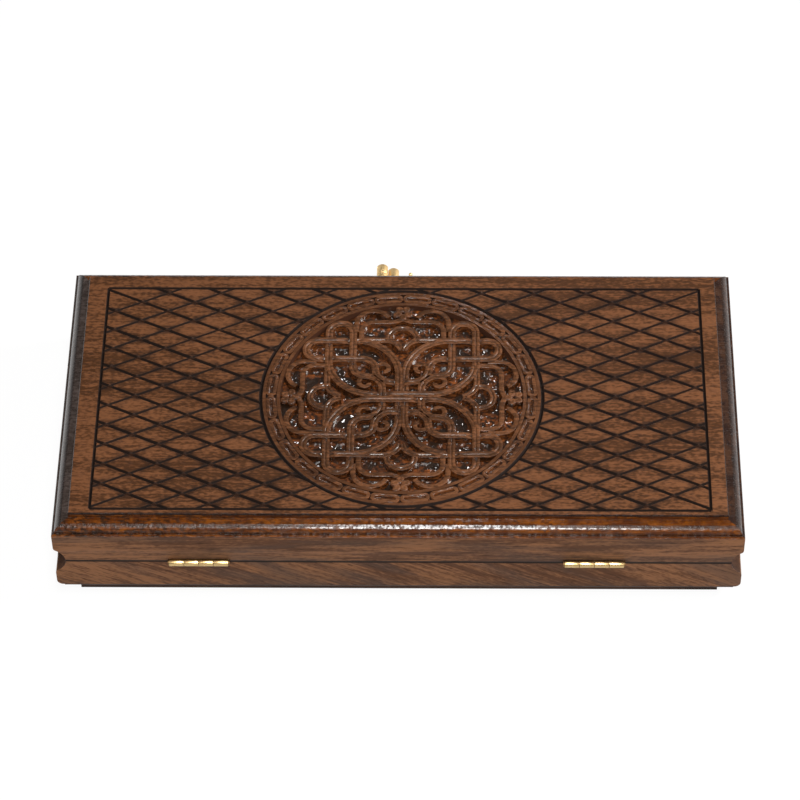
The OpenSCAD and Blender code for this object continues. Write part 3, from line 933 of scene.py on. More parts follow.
def dress(
    piece: bpy.types.Object, material: bpy.types.Material, body: str, slot: str, *stands_for: str
) -> bpy.types.Object:
    """Gives a new piece its material and its body, and hides the nodes that it stands for.

    Args:
        piece: the piece.
        material: its material.
        body: the body that it rides on.
        slot: not used.
        stands_for: the nodes that it replaces.

    Returns:
        The piece.
    """
    piece.data.materials.clear()
    piece.data.materials.append(material)
    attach(piece, body)
    if stands_for:
        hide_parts(*stands_for)
    LOG.info("%s rides on %s: %d faces", piece.name, body, len(piece.data.polygons))
    return piece


def shade_steep_faces(piece: bpy.types.Object, material: bpy.types.Material) -> None:
    """Gives the steep faces of a carved piece the darker walls material, painted shade on its carved
    walls.
    """
    piece.data.materials.append(material)
    for face in piece.data.polygons:
        if abs(face.normal.z) < 0.75:
            face.material_index = 1


# Strapwork of the medallion, in millimetres from its middle


class Route:
    """A strap's line, drawn from its start by straights and arcs."""

    STEP = 1.3

    def __init__(self, start: Place) -> None:
        """Starts a line at a place."""
        self.points: list[Place] = [start]

    def line(self, end: Place) -> "Route":
        """Runs straight to a place."""
        start = self.points[-1]
        count = max(1, round(math.dist(start, end) / self.STEP))
        for i in range(1, count + 1):
            share = i / count
            self.points.append(tuple(a + (b - a) * share for a, b in zip(start, end)))
        return self

    def arc(
        self, middle: Place, radius: float, begin: float, end: float, last: float = 0.0
    ) -> "Route":
        """Runs to and along an arc.

        Args:
            middle: its centre.
            radius: its radius.
            begin: the angle where it begins, in degrees.
            end: the angle where it ends.
            last: the radius where it ends, for a spiral; 0 keeps the radius.

        Returns:
            The route itself.
        """
        last = last or radius
        count = max(4, round(math.radians(abs(end - begin)) * radius / self.STEP))
        for i in range(count + 1):
            angle = math.radians(begin + (end - begin) * i / count)
            reach = radius + (last - radius) * i / count
            place = (middle[0] + reach * math.cos(angle), middle[1] + reach * math.sin(angle))
            if i == 0:
                self.line(place)
            else:
                self.points.append(place)
        return self


@dataclass
class Crossing:
    """A place where two straps cross, with how far along each of them it lies."""

    first: int
    first_at: float
    second: int
    second_at: float
    first_over: bool | None = None


@dataclass
class Strapwork:
    """The interlaced straps, arches, scallops, scrolls and palmettes of the medallion."""

    middle: Place = (1.5, -4.0)
    top: float = 81.9
    ground: float = 77.3
    dip: float = 1.0
    dip_flat: float = 2.7
    dip_end: float = 7.5
    width: float = 5.8
    bar: float = 2.3
    knot_in: float = 37.0
    knot_out: float = 55.0
    loop: float = 63.0
    petal: float = 34.0
    bend: float = 10.0
    curl: float = 12.5
    curl_at: float = 14.5
    middle_clear: float = 9.0
    near: float = 3.0

    def section(self, share: float = 1.0, grooved: bool = True) -> list[Place]:
        """A strap's section.

        Args:
            share: its width as a share of a full strap's.
            grooved: whether a groove runs along its middle.

        Returns:
            Its points in metres, as across and up from its top.
        """
        half = self.width / 2 * share
        deep = self.ground - self.top - 0.6
        dent = [(-1.0, 0.0), (-0.22, -0.62), (0.22, -0.62), (1.0, 0.0)]
        groove = dent if grooved else [(0.0, 0.0)]
        flank = [(half + 1.5, deep), (half + 0.75, deep + 1.3), (half + 0.25, deep + 2.7)]
        flank += [(half, -0.6), (half - 0.15, -0.22), (half - 0.5, 0.0)]
        outline = [(-across, up) for across, up in flank] + groove + flank[::-1]
        return [(across * MM, up * MM) for across, up in outline]

    def knot_quarter(self) -> list[Place]:
        """A quarter of a long strap: bar, petal, loop of the corner knot, and scroll."""
        low = self.curl * 0.6
        x = self.curl_at + self.curl
        route = Route((0.0, self.bar))
        route.arc((self.knot_out - self.petal, self.bar + self.petal), self.petal, -90, 0)
        between = (self.knot_in + self.knot_out) / 2
        route.arc((between, self.loop), (self.knot_out - self.knot_in) / 2, 0, 180)
        route.arc((self.knot_in - self.bend, low + self.curl + self.bend), self.bend, 0, -90)
        route.arc((x, low), self.curl, 90, 180)
        route.line((self.curl_at, 0.0))
        return route.points

    def strand(self, swapped: bool) -> list[Place]:
        """A whole endless strap, from four mirrored quarters.

        Args:
            swapped: whether it is the one turned over the diagonal.

        Returns:
            Its points, once round.
        """
        quarter = self.knot_quarter()
        whole: list[Place] = []
        for side_x, side_y, back in ((1, 1, False), (1, -1, True), (-1, -1, False), (-1, 1, True)):
            part = [(x * side_x, y * side_y) for x, y in (reversed(quarter) if back else quarter)]
            whole += part[1:] if whole else part
        whole.pop()
        return [(y, x) for x, y in whole] if swapped else whole

    @staticmethod
    def lengths(points: Sequence[Place]) -> list[float]:
        """How far along a closed line each of its points lies."""
        along = [0.0]
        for a, b in zip(points, list(points[1:]) + [points[0]]):
            along.append(along[-1] + math.dist(a, b))
        return along

    @staticmethod
    def meet(a: Place, b: Place, c: Place, d: Place) -> tuple[float, float] | None:
        """Where the stretches a-b and c-d cross, as shares of each, if they do."""
        rx, ry = b[0] - a[0], b[1] - a[1]
        sx, sy = d[0] - c[0], d[1] - c[1]
        turn = rx * sy - ry * sx
        if abs(turn) < 1e-9:
            return None
        t = ((c[0] - a[0]) * sy - (c[1] - a[1]) * sx) / turn
        u = ((c[0] - a[0]) * ry - (c[1] - a[1]) * rx) / turn
        return (t, u) if 0 <= t < 1 and 0 <= u < 1 else None

    def crossings(self, strands: Sequence[Sequence[Place]]) -> list[Crossing]:
        """All crossings of the strands, apart from those at the very middle."""
        found = []
        along = [self.lengths(points) for points in strands]
        for i, first in enumerate(strands):
            for j in range(i, len(strands)):
                second = strands[j]
                for m in range(len(first)):
                    a, b = first[m], first[(m + 1) % len(first)]
                    if math.hypot(*a) < self.middle_clear:
                        continue
                    start = m + 2 if i == j else 0
                    for n in range(start, len(second)):
                        c, d = second[n], second[(n + 1) % len(second)]
                        if max(abs(c[0] - a[0]), abs(c[1] - a[1])) > self.near:
                            continue
                        shares = self.meet(a, b, c, d)
                        if shares:
                            at = along[i][m] + shares[0] * math.dist(a, b)
                            other = along[j][n] + shares[1] * math.dist(c, d)
                            found.append(Crossing(i, at, j, other))
        return found

    def weave(self, strands: Sequence[Sequence[Place]]) -> list[list[float]]:
        """Decides which strap dives at each crossing, over and under in turn.

        Args:
            strands: the endless straps.

        Returns:
            The places along each strap where it dives.
        """
        found = self.crossings(strands)
        dives: list[list[float]] = [[] for _ in strands]
        for number in range(len(strands)):
            visits = [(c.first_at, c, True) for c in found if c.first == number]
            visits += [(c.second_at, c, False) for c in found if c.second == number]
            visits.sort(key=lambda visit: visit[0])
            over = True
            for place, (_, crossing, is_first) in enumerate(visits):
                if crossing.first_over is not None and crossing.second != crossing.first:
                    over = (crossing.first_over == is_first) == (place % 2 == 0)
                    break
            for place, (at, crossing, is_first) in enumerate(visits):
                above = over == (place % 2 == 0)
                if crossing.first_over is None:
                    crossing.first_over = above == is_first
                if (crossing.first_over == is_first) is False:
                    dives[number].append(at)
        LOG.info("the straps cross at %d places", len(found))
        return dives

    def sunk(self, at: float, dives: Sequence[float], total: float) -> float:
        """How deep a strap lies at a place along it, in millimetres."""
        deepest = 0.0
        for dive in dives:
            away = abs(at - dive)
            away = min(away, total - away)
            if away < self.dip_end:
                share = (away - self.dip_flat) / (self.dip_end - self.dip_flat)
                deepest = max(deepest, 0.5 + 0.5 * math.cos(math.pi * min(1.0, max(0.0, share))))
        return deepest * self.dip

    def lift(self, points: Sequence[Place], depths: Sequence[float] | float) -> list[Vector]:
        """A route's points in metres in the case's frame, at their heights."""
        if isinstance(depths, (int, float)):
            depths = [depths] * len(points)
        return [
            Vector((self.middle[0] + x, self.middle[1] + y, self.top - deep)) * MM
            for (x, y), deep in zip(points, depths)
        ]

    @staticmethod
    def eight(points: Sequence[Place]) -> list[list[Place]]:
        """The eight mirror images of an eighth's route."""
        made = []
        for drawn in (points, [(y, x) for x, y in points]):
            for side_x in (1, -1):
                for side_y in (1, -1):
                    made.append([(x * side_x, y * side_y) for x, y in drawn])
        return made

    def long_straps(self) -> list[bpy.types.Object]:
        """The two endless straps, woven through each other."""
        strands = [self.strand(False), self.strand(True)]
        dives = self.weave(strands)
        made = []
        for name, points, places in zip(("lid_strap_long", "lid_strap_cross"), strands, dives):
            along = self.lengths(points)
            depths = [self.sunk(at, places, along[-1]) for at in along[:-1]]
            if name == "lid_strap_cross":
                depths = [max(d, self.middle_dip(p)) for d, p in zip(depths, points)]
            made.append(Bench.sweep(name, [self.lift(points, depths)], self.section(), True))
        return made

    def middle_dip(self, place: Place) -> float:
        """How deep the crosswise strap lies under the lengthwise one at the very middle."""
        away = math.hypot(*place)
        share = (away - 5.5) / 5.0
        return self.dip * (0.5 + 0.5 * math.cos(math.pi * min(1.0, max(0.0, share))))

    def short_straps(
        self, name: str, lines: Sequence[Sequence[Place]], sunk: float, section: Sequence[Place]
    ) -> bpy.types.Object:
        """Straps that end, all at one depth.

        Args:
            name: the piece's name.
            lines: the line of each.
            sunk: how deep they lie.
            section: their section.

        Returns:
            All of them as one piece.
        """
        routes = [self.lift(points, sunk) for points in lines]
        return Bench.sweep(name, routes, section, False)

    def cusps(self) -> bpy.types.Object:
        """The straps that leave the knots and meet in a cusp below each arch."""
        start = (self.knot_in - 1.0, self.knot_out + 0.6)
        route = Route(start).arc((13.5, start[1] - 13.0), 13.0, 90, 168)
        lines = self.eight(route.points)
        return self.short_straps("lid_strap_cusps", lines, 0.25, self.section(0.84))

    def arches(self) -> bpy.types.Object:
        """The small arch at each side of the medallion."""
        route = Route((10.4, 54.5)).arc((0.0, 57.5), 10.4, 0, 180).line((-10.4, 54.5))
        lines = [route.points]
        for _ in range(3):
            lines.append([(-y, x) for x, y in lines[-1]])
        return self.short_straps("lid_strap_arches", lines, 0.35, self.section(0.84))

    def scallops(self) -> bpy.types.Object:
        """The double scallops between the knots."""
        outer = Route((34.6, 64.0)).arc((21.8, 72.2), 12.8, 0, 152)
        inner = Route((30.8, 57.0)).arc((21.4, 64.6), 9.4, 0, 90)
        inner.line((6.5, 74.0)).line((0.6, 76.4))
        lines = self.eight(outer.points) + self.eight(inner.points)
        return self.short_straps("lid_strap_scallops", lines, 0.45, self.section(0.7, False))

    def volutes(self) -> bpy.types.Object:
        """The curled ends of the scrolls."""
        x = self.curl_at + self.curl
        y = self.curl * 1.6
        route = Route((x - 3.0, y - 0.3)).arc((x, y - 6.2), 6.2, 90, -170, 2.6)
        lines = self.eight(route.points)
        return self.short_straps("lid_scroll_ends", lines, 0.3, self.section(0.62, False))

    def palmettes(self) -> bpy.types.Object:
        """A flower of round lobes at each side."""
        ball = bpy.ops.mesh.primitive_uv_sphere_add
        petal = Bench.add(ball, "lid_palmettes", segments=20, ring_count=10, radius=1.0)
        for point in petal.data.vertices:
            x, y, z = point.co
            hollow = 0.55 * max(0.0, 1.0 - 2.2 * math.hypot(x, y)) if z > 0 else 0.0
            point.co = (x * 3.3, y * 3.9, (z - hollow) * 2.4)
        fan = []
        for side in range(4):
            for leaf in range(5):
                tilt = Matrix.Rotation(math.radians(36.0 + 72.0 * leaf), 4, "Z")
                out = Matrix.Translation((0.0, 4.3, 0.0))
                base = Matrix.Translation((0.0, 83.0, self.top - 1.9))
                turn = Matrix.Rotation(math.radians(90.0 * side), 4, "Z")
                middle = Matrix.Translation((*self.middle, 0.0))
                move = Matrix.Scale(MM, 4) @ middle @ turn @ base @ tilt @ out
                fan.append(Bench.copy(petal, f"petal_{side}_{leaf}", move))
        bpy.data.objects.remove(petal, do_unlink=True)
        made = Bench.join("lid_palmettes", fan)
        Bench.clean(made)
        bpy.ops.object.shade_smooth()
        return made

    def build(self, finishes: Finishes) -> None:
        """Builds all pieces of the strapwork, and then dresses them."""
        pieces = self.long_straps()
        for make in (self.cusps, self.arches, self.scallops, self.volutes, self.palmettes):
            pieces.append(make())
        for piece in pieces:
            shade_steep_faces(dress(piece, finishes.straps, "lid", "lid_walnut"), finishes.walls)


# The carved lid


@dataclass
class CarvedLid:
    """The lid's panel: moulded edge, lattice, ringed medallion with its ground and border."""

    length: float = 500.0
    width: float = 254.0
    bottom: float = 69.0
    thick: float = 13.0
    middle: Place = (1.5, -4.0)
    field: Place = (224.0, 107.0)
    diamond: Place = (39.506, 18.609)
    ring: float = 104.4
    ground: float = 90.0
    ground_deep: float = 4.8
    channel: Place = (92.8, 100.4)
    channel_deep: float = 1.6
    beads: int = 28
    line_cuts: tuple[tuple[int, float, float], ...] = ((1, 2.3, 1.5), (-1, 2.8, 1.8))
    frame_cut: Place = (2.4, 1.8)
    ring_cut: Place = (2.9, 1.9)
    pit_radii: Place = (0.35, 2.3)
    pit_height: float = 3.2
    bead_corner: float = 2.1
    slot_from: float = 2.7
    slot_deep: float = 1.4

    def edge_profile(self) -> list[Place]:
        """The moulding, as steps in from the outer face and up from the rail."""
        profile = [(0.0, 0.7), (0.3, 1.0), (1.75, 1.0), (2.0, 1.25)]
        for turn in range(24, 77, 5):
            angle = math.radians(turn)
            profile.append((9.3 - 8.0 * math.cos(angle), 8.0 * math.sin(angle) - 0.3))
        profile += [(7.8, 7.5), (11.6, 7.5), (11.88, 7.62), (12.0, 7.9)]
        profile += [(12.0, 11.9), (12.12, 12.45), (12.5, 12.86), (13.1, 13.0)]
        return profile

    def panel(self) -> bpy.types.Object:
        """The panel with its moulded edge, drawn up step by step."""
        half_x, half_y = self.length / 2 * MM, self.width / 2 * MM
        start = self.edge_profile()[0]
        low = (-half_x, -half_y, self.bottom * MM)
        panel = Bench.block("lid_carved_top", low, (half_x, half_y, (self.bottom + start[1]) * MM))
        Bench.choose(panel, Choice.FACES, lambda face: face.normal.z > 0.5)
        at = start
        for step in self.edge_profile()[1:]:
            rise = {"value": (0.0, 0.0, (step[1] - at[1]) * MM)}
            bpy.ops.mesh.extrude_region_move(TRANSFORM_OT_translate=rise)
            share = [(half - step[0] * MM) / (half - at[0] * MM) for half in (half_x, half_y)]
            bpy.ops.transform.resize(value=(*share, 1.0), center_override=(0.0, 0.0, 0.0))
            at = step
        Bench.shut()
        Bench.smooth(40.0)
        return panel

    def wedge(self, start: Place, end: Place, width: float, depth: float) -> bpy.types.Object:
        """A V-shaped cutter from one place on the face to another."""
        span = math.dist(start, end)
        above = depth
        wide = width / 2 * (depth + above) / depth / math.cos(math.radians(30))
        high = (depth + above) / 1.5
        along = Vector((end[0] - start[0], end[1] - start[1], 0.0)).normalized()
        across = Vector((along.y, -along.x, 0.0))
        middle = Vector((start[0] + end[0], start[1] + end[1], 0.0)) / 2
        middle += Vector((*self.middle, self.bottom + self.thick + high - depth))
        turn = Matrix.Identity(4)
        for row in range(3):
            turn[row][0] = across[row] * wide
            turn[row][1] = -high if row == 2 else 0.0
            turn[row][2] = along[row] * span
            turn[row][3] = middle[row]
        prism = bpy.ops.mesh.primitive_cylinder_add
        move = Matrix.Scale(MM, 4) @ turn
        return Bench.add(prism, "cutter", move, vertices=3, radius=1.0, depth=1.0)

    def lattice_lines(self, lean: int) -> list[tuple[Place, Place]]:
        """The stretches of the lattice lines that lean one way, outside the ring.

        Args:
            lean: 1 or -1, the way they lean.

        Returns:
            Start and end of each, from the middle of the field.
        """
        angle = math.atan2(self.diamond[1], self.diamond[0])
        c, s = math.cos(angle), math.sin(angle)
        lines = []
        for number in range(-10, 11):
            at = number * self.diamond[0]
            begin = max(-self.field[1] / s, (-self.field[0] - at) / c)
            end = min(self.field[1] / s, (self.field[0] - at) / c)
            room = self.ring**2 - (at * s) ** 2
            parts = [(begin, end)]
            if room > 0:
                reach = math.sqrt(room)
                parts = [(begin, -at * c - reach), (-at * c + reach, end)]
            for a, b in parts:
                if b - a > 2.0:
                    lines.append(((at + a * c, a * s * lean), (at + b * c, b * s * lean)))
        return lines

    def cut_lattice(self, panel: bpy.types.Object) -> None:
        """Cuts the lattice both ways and its small pits."""
        hand = random.Random(7)
        for lean, width, depth in self.line_cuts:
            tools = []
            for start, end in self.lattice_lines(lean):
                wide = width * hand.uniform(0.9, 1.12)
                tools.append(self.wedge(start, end, wide, depth * hand.uniform(0.95, 1.08)))
            Bench.carve(panel, Bench.join("cutter", tools))
        cone = bpy.ops.mesh.primitive_cone_add
        sizes = {"radius1": self.pit_radii[0], "radius2": self.pit_radii[1]}
        sizes |= {"vertices": 10, "depth": self.pit_height}
        pits = []
        for across in range(-12, 13):
            for up in range(-12, 13):
                x, y = across * self.diamond[0] / 2, up * self.diamond[1] / 2
                inside = abs(x) < self.field[0] - 4 and abs(y) < self.field[1] - 4
                corner = abs(across) + abs(up) > 21
                if (across + up) % 2 or corner or not inside or math.hypot(x, y) < self.ring + 3:
                    continue
                place = (self.middle[0] + x, self.middle[1] + y, self.bottom + self.thick - 0.3)
                move = Matrix.Scale(MM, 4) @ Matrix.Translation(place)
                pits.append(Bench.add(cone, "cutter", move, **sizes))
        Bench.carve(panel, Bench.join("cutter", pits))

    def cut_frame(self, panel: bpy.types.Object) -> None:
        """Cuts the groove around the field."""
        x, y = self.field
        for sides in (
            [((-x, -y), (x, -y)), ((-x, y), (x, y))],
            [((-x, -y), (-x, y)), ((x, -y), (x, y))],
        ):
            tools = [self.wedge(a, b, *self.frame_cut) for a, b in sides]
            Bench.carve(panel, Bench.join("cutter", tools))

    def cut_medallion(self, panel: bpy.types.Object) -> None:
        """Cuts the ring, the border's channel and the pocket for the ground."""
        face = self.bottom + self.thick
        inner, outer = self.channel
        deep = face - self.channel_deep
        floor = face - self.ground_deep - 0.6
        wall = self.ground
        half, ring_deep = self.ring_cut
        over = face + ring_deep
        groove = [(self.ring, face - ring_deep), (self.ring + half, over), (self.ring - half, over)]
        over = face + 1.0
        channel = [(inner, deep), (outer, deep), (outer + 0.4, over), (inner - 0.4, over)]
        over = face + 0.6
        pocket = [(0.0, floor), (wall - 0.6, floor), (wall - 0.2, face - 0.9)]
        pocket += [(wall + 0.3, over), (0.0, over)]
        axis = (self.middle[0] * MM, self.middle[1] * MM)
        for outline in (groove, channel, pocket):
            points = [(radius * MM, height * MM) for radius, height in outline]
            Bench.carve(panel, Bench.lathe("cutter", points, axis, 168))

    def build_panel(self) -> bpy.types.Object:
        """The carved panel."""
        panel = self.panel()
        self.cut_lattice(panel)
        self.cut_frame(panel)
        self.cut_medallion(panel)
        Bench.clean(panel)
        Bench.smooth(25.0)
        return panel

    def build_ground(self) -> bpy.types.Object:
        """The medallion's ground, uneven from the punch."""
        level = (self.bottom + self.thick - self.ground_deep) * MM
        place = (self.middle[0] * MM, self.middle[1] * MM, level)
        sizes = {"x_subdivisions": 138, "y_subdivisions": 138, "size": 182 * MM}
        grid = bpy.ops.mesh.primitive_grid_add
        ground = Bench.add(grid, "lid_medallion_ground", location=place, **sizes)
        reach = (self.ground + 0.8) * MM

        def outside(face: bpy.types.MeshPolygon) -> bool:
            """Whether a face lies beyond the pocket's wall."""
            return math.hypot(face.center.x - place[0], face.center.y - place[1]) > reach

        Bench.choose(ground, Choice.FACES, outside)
        bpy.ops.mesh.delete(type="FACE")
        Bench.shut()
        punch = bpy.data.textures.new("punch_marks", "CLOUDS")
        punch.noise_scale = 4.2 * MM
        punch.noise_depth = 1
        settings = {"texture": punch, "strength": 1.5 * MM, "mid_level": 0.5, "direction": "Z"}
        Bench.apply(ground, "DISPLACE", texture_coords="LOCAL", **settings)
        Bench.apply(ground, "SOLIDIFY", thickness=1.2 * MM, offset=-1.0)
        Bench.clean(ground)
        bpy.ops.object.shade_smooth()
        return ground

    def build_border(self) -> bpy.types.Object:
        """The border: a ring of pointed beads, each with a slot along its middle."""
        inner, outer = self.channel
        radius = (inner + outer) / 2
        pitch = 2 * math.pi * radius / self.beads
        half_l, half_w = (pitch - 0.4) / 2, (outer - inner + 0.1) / 2
        face = self.bottom + self.thick
        low = (radius - half_w, -half_l, face - self.channel_deep - 0.3)
        bead = Bench.block("lid_border_beads", low, (radius + half_w, half_l, face - 0.08))

        def upright(edge: bpy.types.MeshEdge) -> bool:
            """Whether an edge stands upright."""
            ends = [bead.data.vertices[i].co for i in edge.vertices]
            return abs(ends[0].z - ends[1].z) > 0.5

        Bench.choose(bead, Choice.EDGES, upright)
        bpy.ops.mesh.bevel(offset=self.bead_corner, segments=1, affect="EDGES")
        Bench.shut()
        Bench.choose(bead, Choice.FACES, lambda face: face.normal.z > 0.5)
        bpy.ops.mesh.inset(thickness=self.slot_from)
        bpy.ops.mesh.inset(thickness=0.3)
        bpy.ops.transform.translate(value=(0.0, 0.0, -self.slot_deep))
        Bench.shut()
        limit = {"limit_method": "ANGLE", "angle_limit": math.radians(35)}
        Bench.apply(bead, "BEVEL", width=0.18, segments=2, **limit)
        copies = []
        for number in range(self.beads):
            turn = Matrix.Rotation(2 * math.pi * (number + 0.5) / self.beads, 4, "Z")
            move = Matrix.Scale(MM, 4) @ Matrix.Translation((*self.middle, 0.0)) @ turn
            copies.append(Bench.copy(bead, f"bead_{number}", move))
        bpy.data.objects.remove(bead, do_unlink=True)
        border = Bench.join("lid_border_beads", copies)
        Bench.clean(border)
        Bench.smooth(35.0)
        return border

    def build(self, finishes: Finishes) -> None:
        """Builds and dresses the lid's panel, ground and border."""
        dress(self.build_panel(), finishes.lid_top, "lid", "lid_walnut", "lid_carved_panel")
        dress(self.build_ground(), finishes.ground, "lid", "lid_walnut")
        border = dress(self.build_border(), finishes.beads, "lid", "lid_walnut")
        shade_steep_faces(border, finishes.walls)


# Parts of the frame


@dataclass
class CaseParts:
    """The case's other parts: eased wood and the frame's own metal and playing pieces."""

    finishes: Finishes
    ease: float = 0.7 * MM
    corner: float = 4.6 * MM
    cove_corner: float = 2.2 * MM
    brass_ease: float = 0.4 * MM
    seam: float = 41.0 * MM
    cove_edge: float = 12.3 * MM
    tray_foot: float = 13.0 * MM
    half_length: float = 250.0 * MM
    base_reach: Place = (245.0 * MM, 126.0 * MM)

    def round_ends(self, piece: bpy.types.Object, height: float, radius: float) -> None:
        """Rounds the edges across the ends of the case at one height.

        Args:
            piece: a rail or an end.
            height: where those edges lie.
            radius: how far they are rounded.
        """
        weights = piece.data.attributes.new("bevel_weight_edge", "FLOAT", "EDGE")
        points = piece.data.vertices
        for edge, weight in zip(piece.data.edges, weights.data):
            a, b = (points[i].co for i in edge.vertices)
            across = abs(a.x - b.x) < 0.1 * MM and abs(abs(a.x) - self.half_length) < 0.1 * MM
            level = max(abs(a.z - height), abs(b.z - height)) < 0.4 * MM
            weight.value = 1.0 if across and level else 0.0
        Bench.apply(piece, "BEVEL", width=radius, segments=6, limit_method="WEIGHT")
        piece.data.attributes.remove(piece.data.attributes["bevel_weight_edge"])

    def cut_back(self, piece: bpy.types.Object) -> None:
        """Cuts the base back under the rounded ends of the tray.

        Args:
            piece: the base.
        """
        for axis, side in ((0, -1), (0, 1), (1, -1), (1, 1)):
            outwards = Vector((0.0, 0.0, 0.0))
            outwards[axis] = side
            place = outwards * self.base_reach[axis]
            Bench.open(piece)
            bpy.ops.mesh.bisect(plane_co=place, plane_no=outwards, use_fill=True, clear_outer=True)
            Bench.shut()

    def eased(self, node: str, material: bpy.types.Material, slot: str, ease: float) -> None:
        """A copy of a part with its sharp edges taken off.

        Args:
            node: the part.
            material: its finish.
            slot: the record's slot for it.
            ease: how far its edges are rounded.
        """
        source = frame["nodes"][node]
        piece = Bench.copy(source, node + "_eased", Matrix.Identity(4))
        piece.parent = None
        for key in list(piece.keys()):
            del piece[key]
        Bench.clean(piece, 0.01 * MM)
        Bench.open(piece)
        bpy.ops.mesh.dissolve_limited(angle_limit=math.radians(1.0))
        Bench.shut()
        if node == "tray_panel":
            self.cut_back(piece)
        elif node.endswith(("_rail", "_end")):
            self.round_ends(piece, self.tray_foot, self.corner)
            for side in (-1, 1):
                self.round_ends(piece, self.seam + side * self.cove_edge, self.cove_corner)
        limit = {"limit_method": "ANGLE", "angle_limit": math.radians(50)}
        Bench.apply(piece, "BEVEL", width=ease, segments=3, use_clamp_overlap=True, **limit)
        Bench.clean(piece)
        Bench.smooth(40.0)
        dress(piece, material, source["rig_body"], slot, node)

    def paint(self, node: str, material: bpy.types.Material) -> None:
        """Gives a part of the frame its finish."""
        part = frame["nodes"][node]
        part.data.materials.clear()
        part.data.materials.append(material)
        LOG.info("%s has %s", node, material.name)

    def wood(self) -> None:
        """Eases and finishes the case's rails, ends and base."""
        for half, rail in (("tray", self.finishes.tray_rail), ("lid", self.finishes.lid_rail)):
            slot = half + "_walnut"
            for name in ("front_rail", "back_rail"):
                self.eased(f"{half}_{name}", rail, slot, self.ease)
            for name in ("left_end", "right_end"):
                self.eased(f"{half}_{name}", self.finishes.end, slot, self.ease)
        # The base gets the very dark walnut: painted shade under the tray's overhang.
        self.eased("tray_panel", self.finishes.base, "tray_walnut", self.ease)

    def boards(self) -> None:
        """Finishes the playing boards and their points."""
        for half in ("tray", "lid"):
            self.paint(f"{half}_board", self.finishes.board)
            self.paint(f"{half}_light_points", self.finishes.maple)
            self.paint(f"{half}_dark_points", self.finishes.dark_inlay)

    def metal(self) -> None:
        """Finishes the hinges, screws and latch."""
        for name in sorted(frame["nodes"]):
            if name.endswith("_leaf"):
                self.eased(name, self.finishes.brass, "brass", self.brass_ease)
            elif name.startswith("latch_"):
                self.eased(name, self.finishes.satin_brass, "brass", self.brass_ease)
            # The pins get the dark brass: painted shade in the knuckle gaps.
            elif name.endswith("_pin"):
                self.paint(name, self.finishes.pin_shade_brass)
            elif name.endswith("_screws"):
                self.paint(name, self.finishes.brass)

    def playing_pieces(self) -> None:
        """Finishes the checkers and the dice."""
        for name in sorted(frame["nodes"]):
            if name.startswith("light_checker"):
                self.paint(name, self.finishes.light_checker)
            elif name.startswith("dark_checker"):
                self.paint(name, self.finishes.dark_checker)
            elif name.startswith("die_"):
                low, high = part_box(name)
                middle = tuple((low + high) / 2)
                self.paint(name, Ivory(name + "_ivory", middle).make())

    def build(self) -> None:
        """Finishes all of them, in order."""
        self.wood()
        self.boards()
        self.metal()
        self.playing_pieces()


# Studio


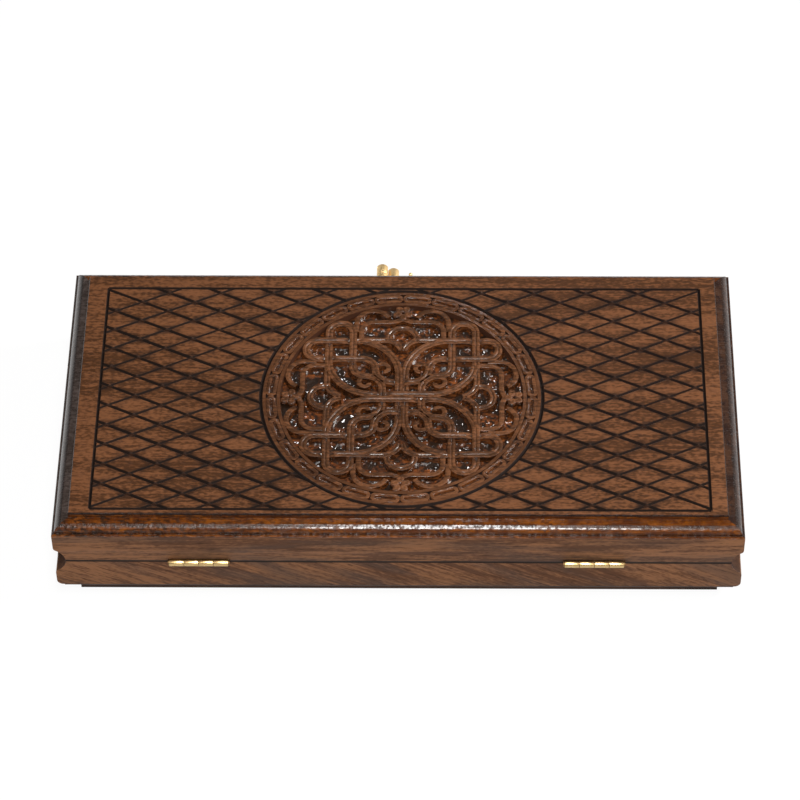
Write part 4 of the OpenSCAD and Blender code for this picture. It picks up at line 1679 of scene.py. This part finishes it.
@dataclass
class Studio:
    """The floor, the lights and the camera."""

    lens: float = 157.05
    stand: tuple[float, float, float] = (0.042087, -1.674095, 2.051541)
    tilt: float = 49.757
    yaw: float = -1.435
    roll: float = -0.917

    def camera(self) -> None:
        """The camera at the photograph's place."""
        data = bpy.data.cameras.new("camera")
        data.lens = self.lens
        data.sensor_width = 36.0
        data.clip_end = 50.0
        camera = Bench.place("camera", data)
        tilt, yaw, roll = (math.radians(a) for a in (self.tilt, self.yaw, self.roll))
        level = math.cos(tilt)
        ahead = Vector((math.sin(yaw) * level, math.cos(yaw) * level, -math.sin(tilt)))
        right = Vector((math.cos(yaw), -math.sin(yaw), 0.0))
        up = right.cross(ahead)
        across = right * math.cos(roll) + up * math.sin(roll)
        upward = up * math.cos(roll) - right * math.sin(roll)
        turn = Matrix((across, upward, -ahead)).transposed().to_4x4()
        camera.matrix_world = Matrix.Translation(self.stand) @ turn
        bpy.context.scene.camera = camera

    def lamp(
        self, name: str, place: Sequence[float], size: Place, power: float, colour: Colour
    ) -> None:
        """An oblong soft light aimed at the case.

        Args:
            name: its name.
            place: where it hangs.
            size: its width and its height in metres.
            power: its power in watts.
            colour: its colour.
        """
        data = bpy.data.lights.new(name, "AREA")
        data.shape = "RECTANGLE"
        data.size, data.size_y = size
        data.energy = power
        data.color = colour
        away = Vector(place)
        turn = away.to_track_quat("Z", "Y").to_matrix().to_4x4()
        Bench.place(name, data).matrix_world = Matrix.Translation(away) @ turn

    def floor(self) -> None:
        """A plain white floor that keeps a faint shadow."""
        sizes = {"vertices": 96, "radius": 6.0, "fill_type": "NGON", "location": (0.0, 0.0, -0.0004)}
        floor = Bench.add(bpy.ops.mesh.primitive_circle_add, "studio_floor", **sizes)
        paint = Paint("white_floor")
        camera, mirrored = paint.rays()
        plain = paint.node("ShaderNodeBsdfDiffuse", {}, {"Color": (0.86, 0.86, 0.86, 1.0)})
        glow = {"Color": (1.0, 1.0, 1.0, 1.0), "Strength": 1.0}
        white = paint.node("ShaderNodeEmission", {}, glow)
        x, y = paint.axes()[:2]
        share = (x * x + y * y).rise(0.1, 0.5) * 0.08 + 0.92
        inputs = {0: camera.most(mirrored) * share, 1: plain, 2: white}
        paint.node_output(paint.node("ShaderNodeMixShader", {}, inputs))
        floor.data.materials.append(paint.material)

    def world(self) -> None:
        """A white surround that hardly lights the case, and is darker overhead in mirrors."""
        sky = Sky("studio")
        camera, mirrored = sky.rays()
        fall = 1.0 - sky.axes()[2].rise(0.02, 0.5) * 0.88
        sky.shine(camera.most(mirrored * fall).most(fall * 0.05))

    def build(self) -> None:
        """Sets the whole studio up."""
        self.camera()
        self.floor()
        self.world()
        self.lamp("key", (0.06, -1.75, 2.1), (0.5, 0.6), 46.0, (1.0, 0.98, 0.95))
        self.lamp("behind", (0.1, 1.7, 1.75), (0.12, 0.12), 2.0, (1.0, 0.98, 1.0))
        self.lamp("above", (0.02, -0.75, 2.25), (0.26, 1.2), 35.0, (1.0, 1.0, 1.0))
        self.lamp("left", (-1.6, -0.3, 1.5), (0.8, 0.8), 5.0, (1.0, 1.0, 1.0))
        self.lamp("right", (1.7, 0.3, 1.3), (0.6, 0.6), 58.0, (1.0, 0.99, 0.97))
        bpy.context.scene.view_settings.view_transform = "Standard"


def main() -> None:
    """Builds and dresses the case, piece by piece."""
    logging.basicConfig(level=logging.INFO, format="%(message)s")
    finishes = Finishes()
    CarvedLid().build(finishes)
    Strapwork().build(finishes)
    CaseParts(finishes).build()
    Studio().build()


if __name__ == "__main__":
    main()
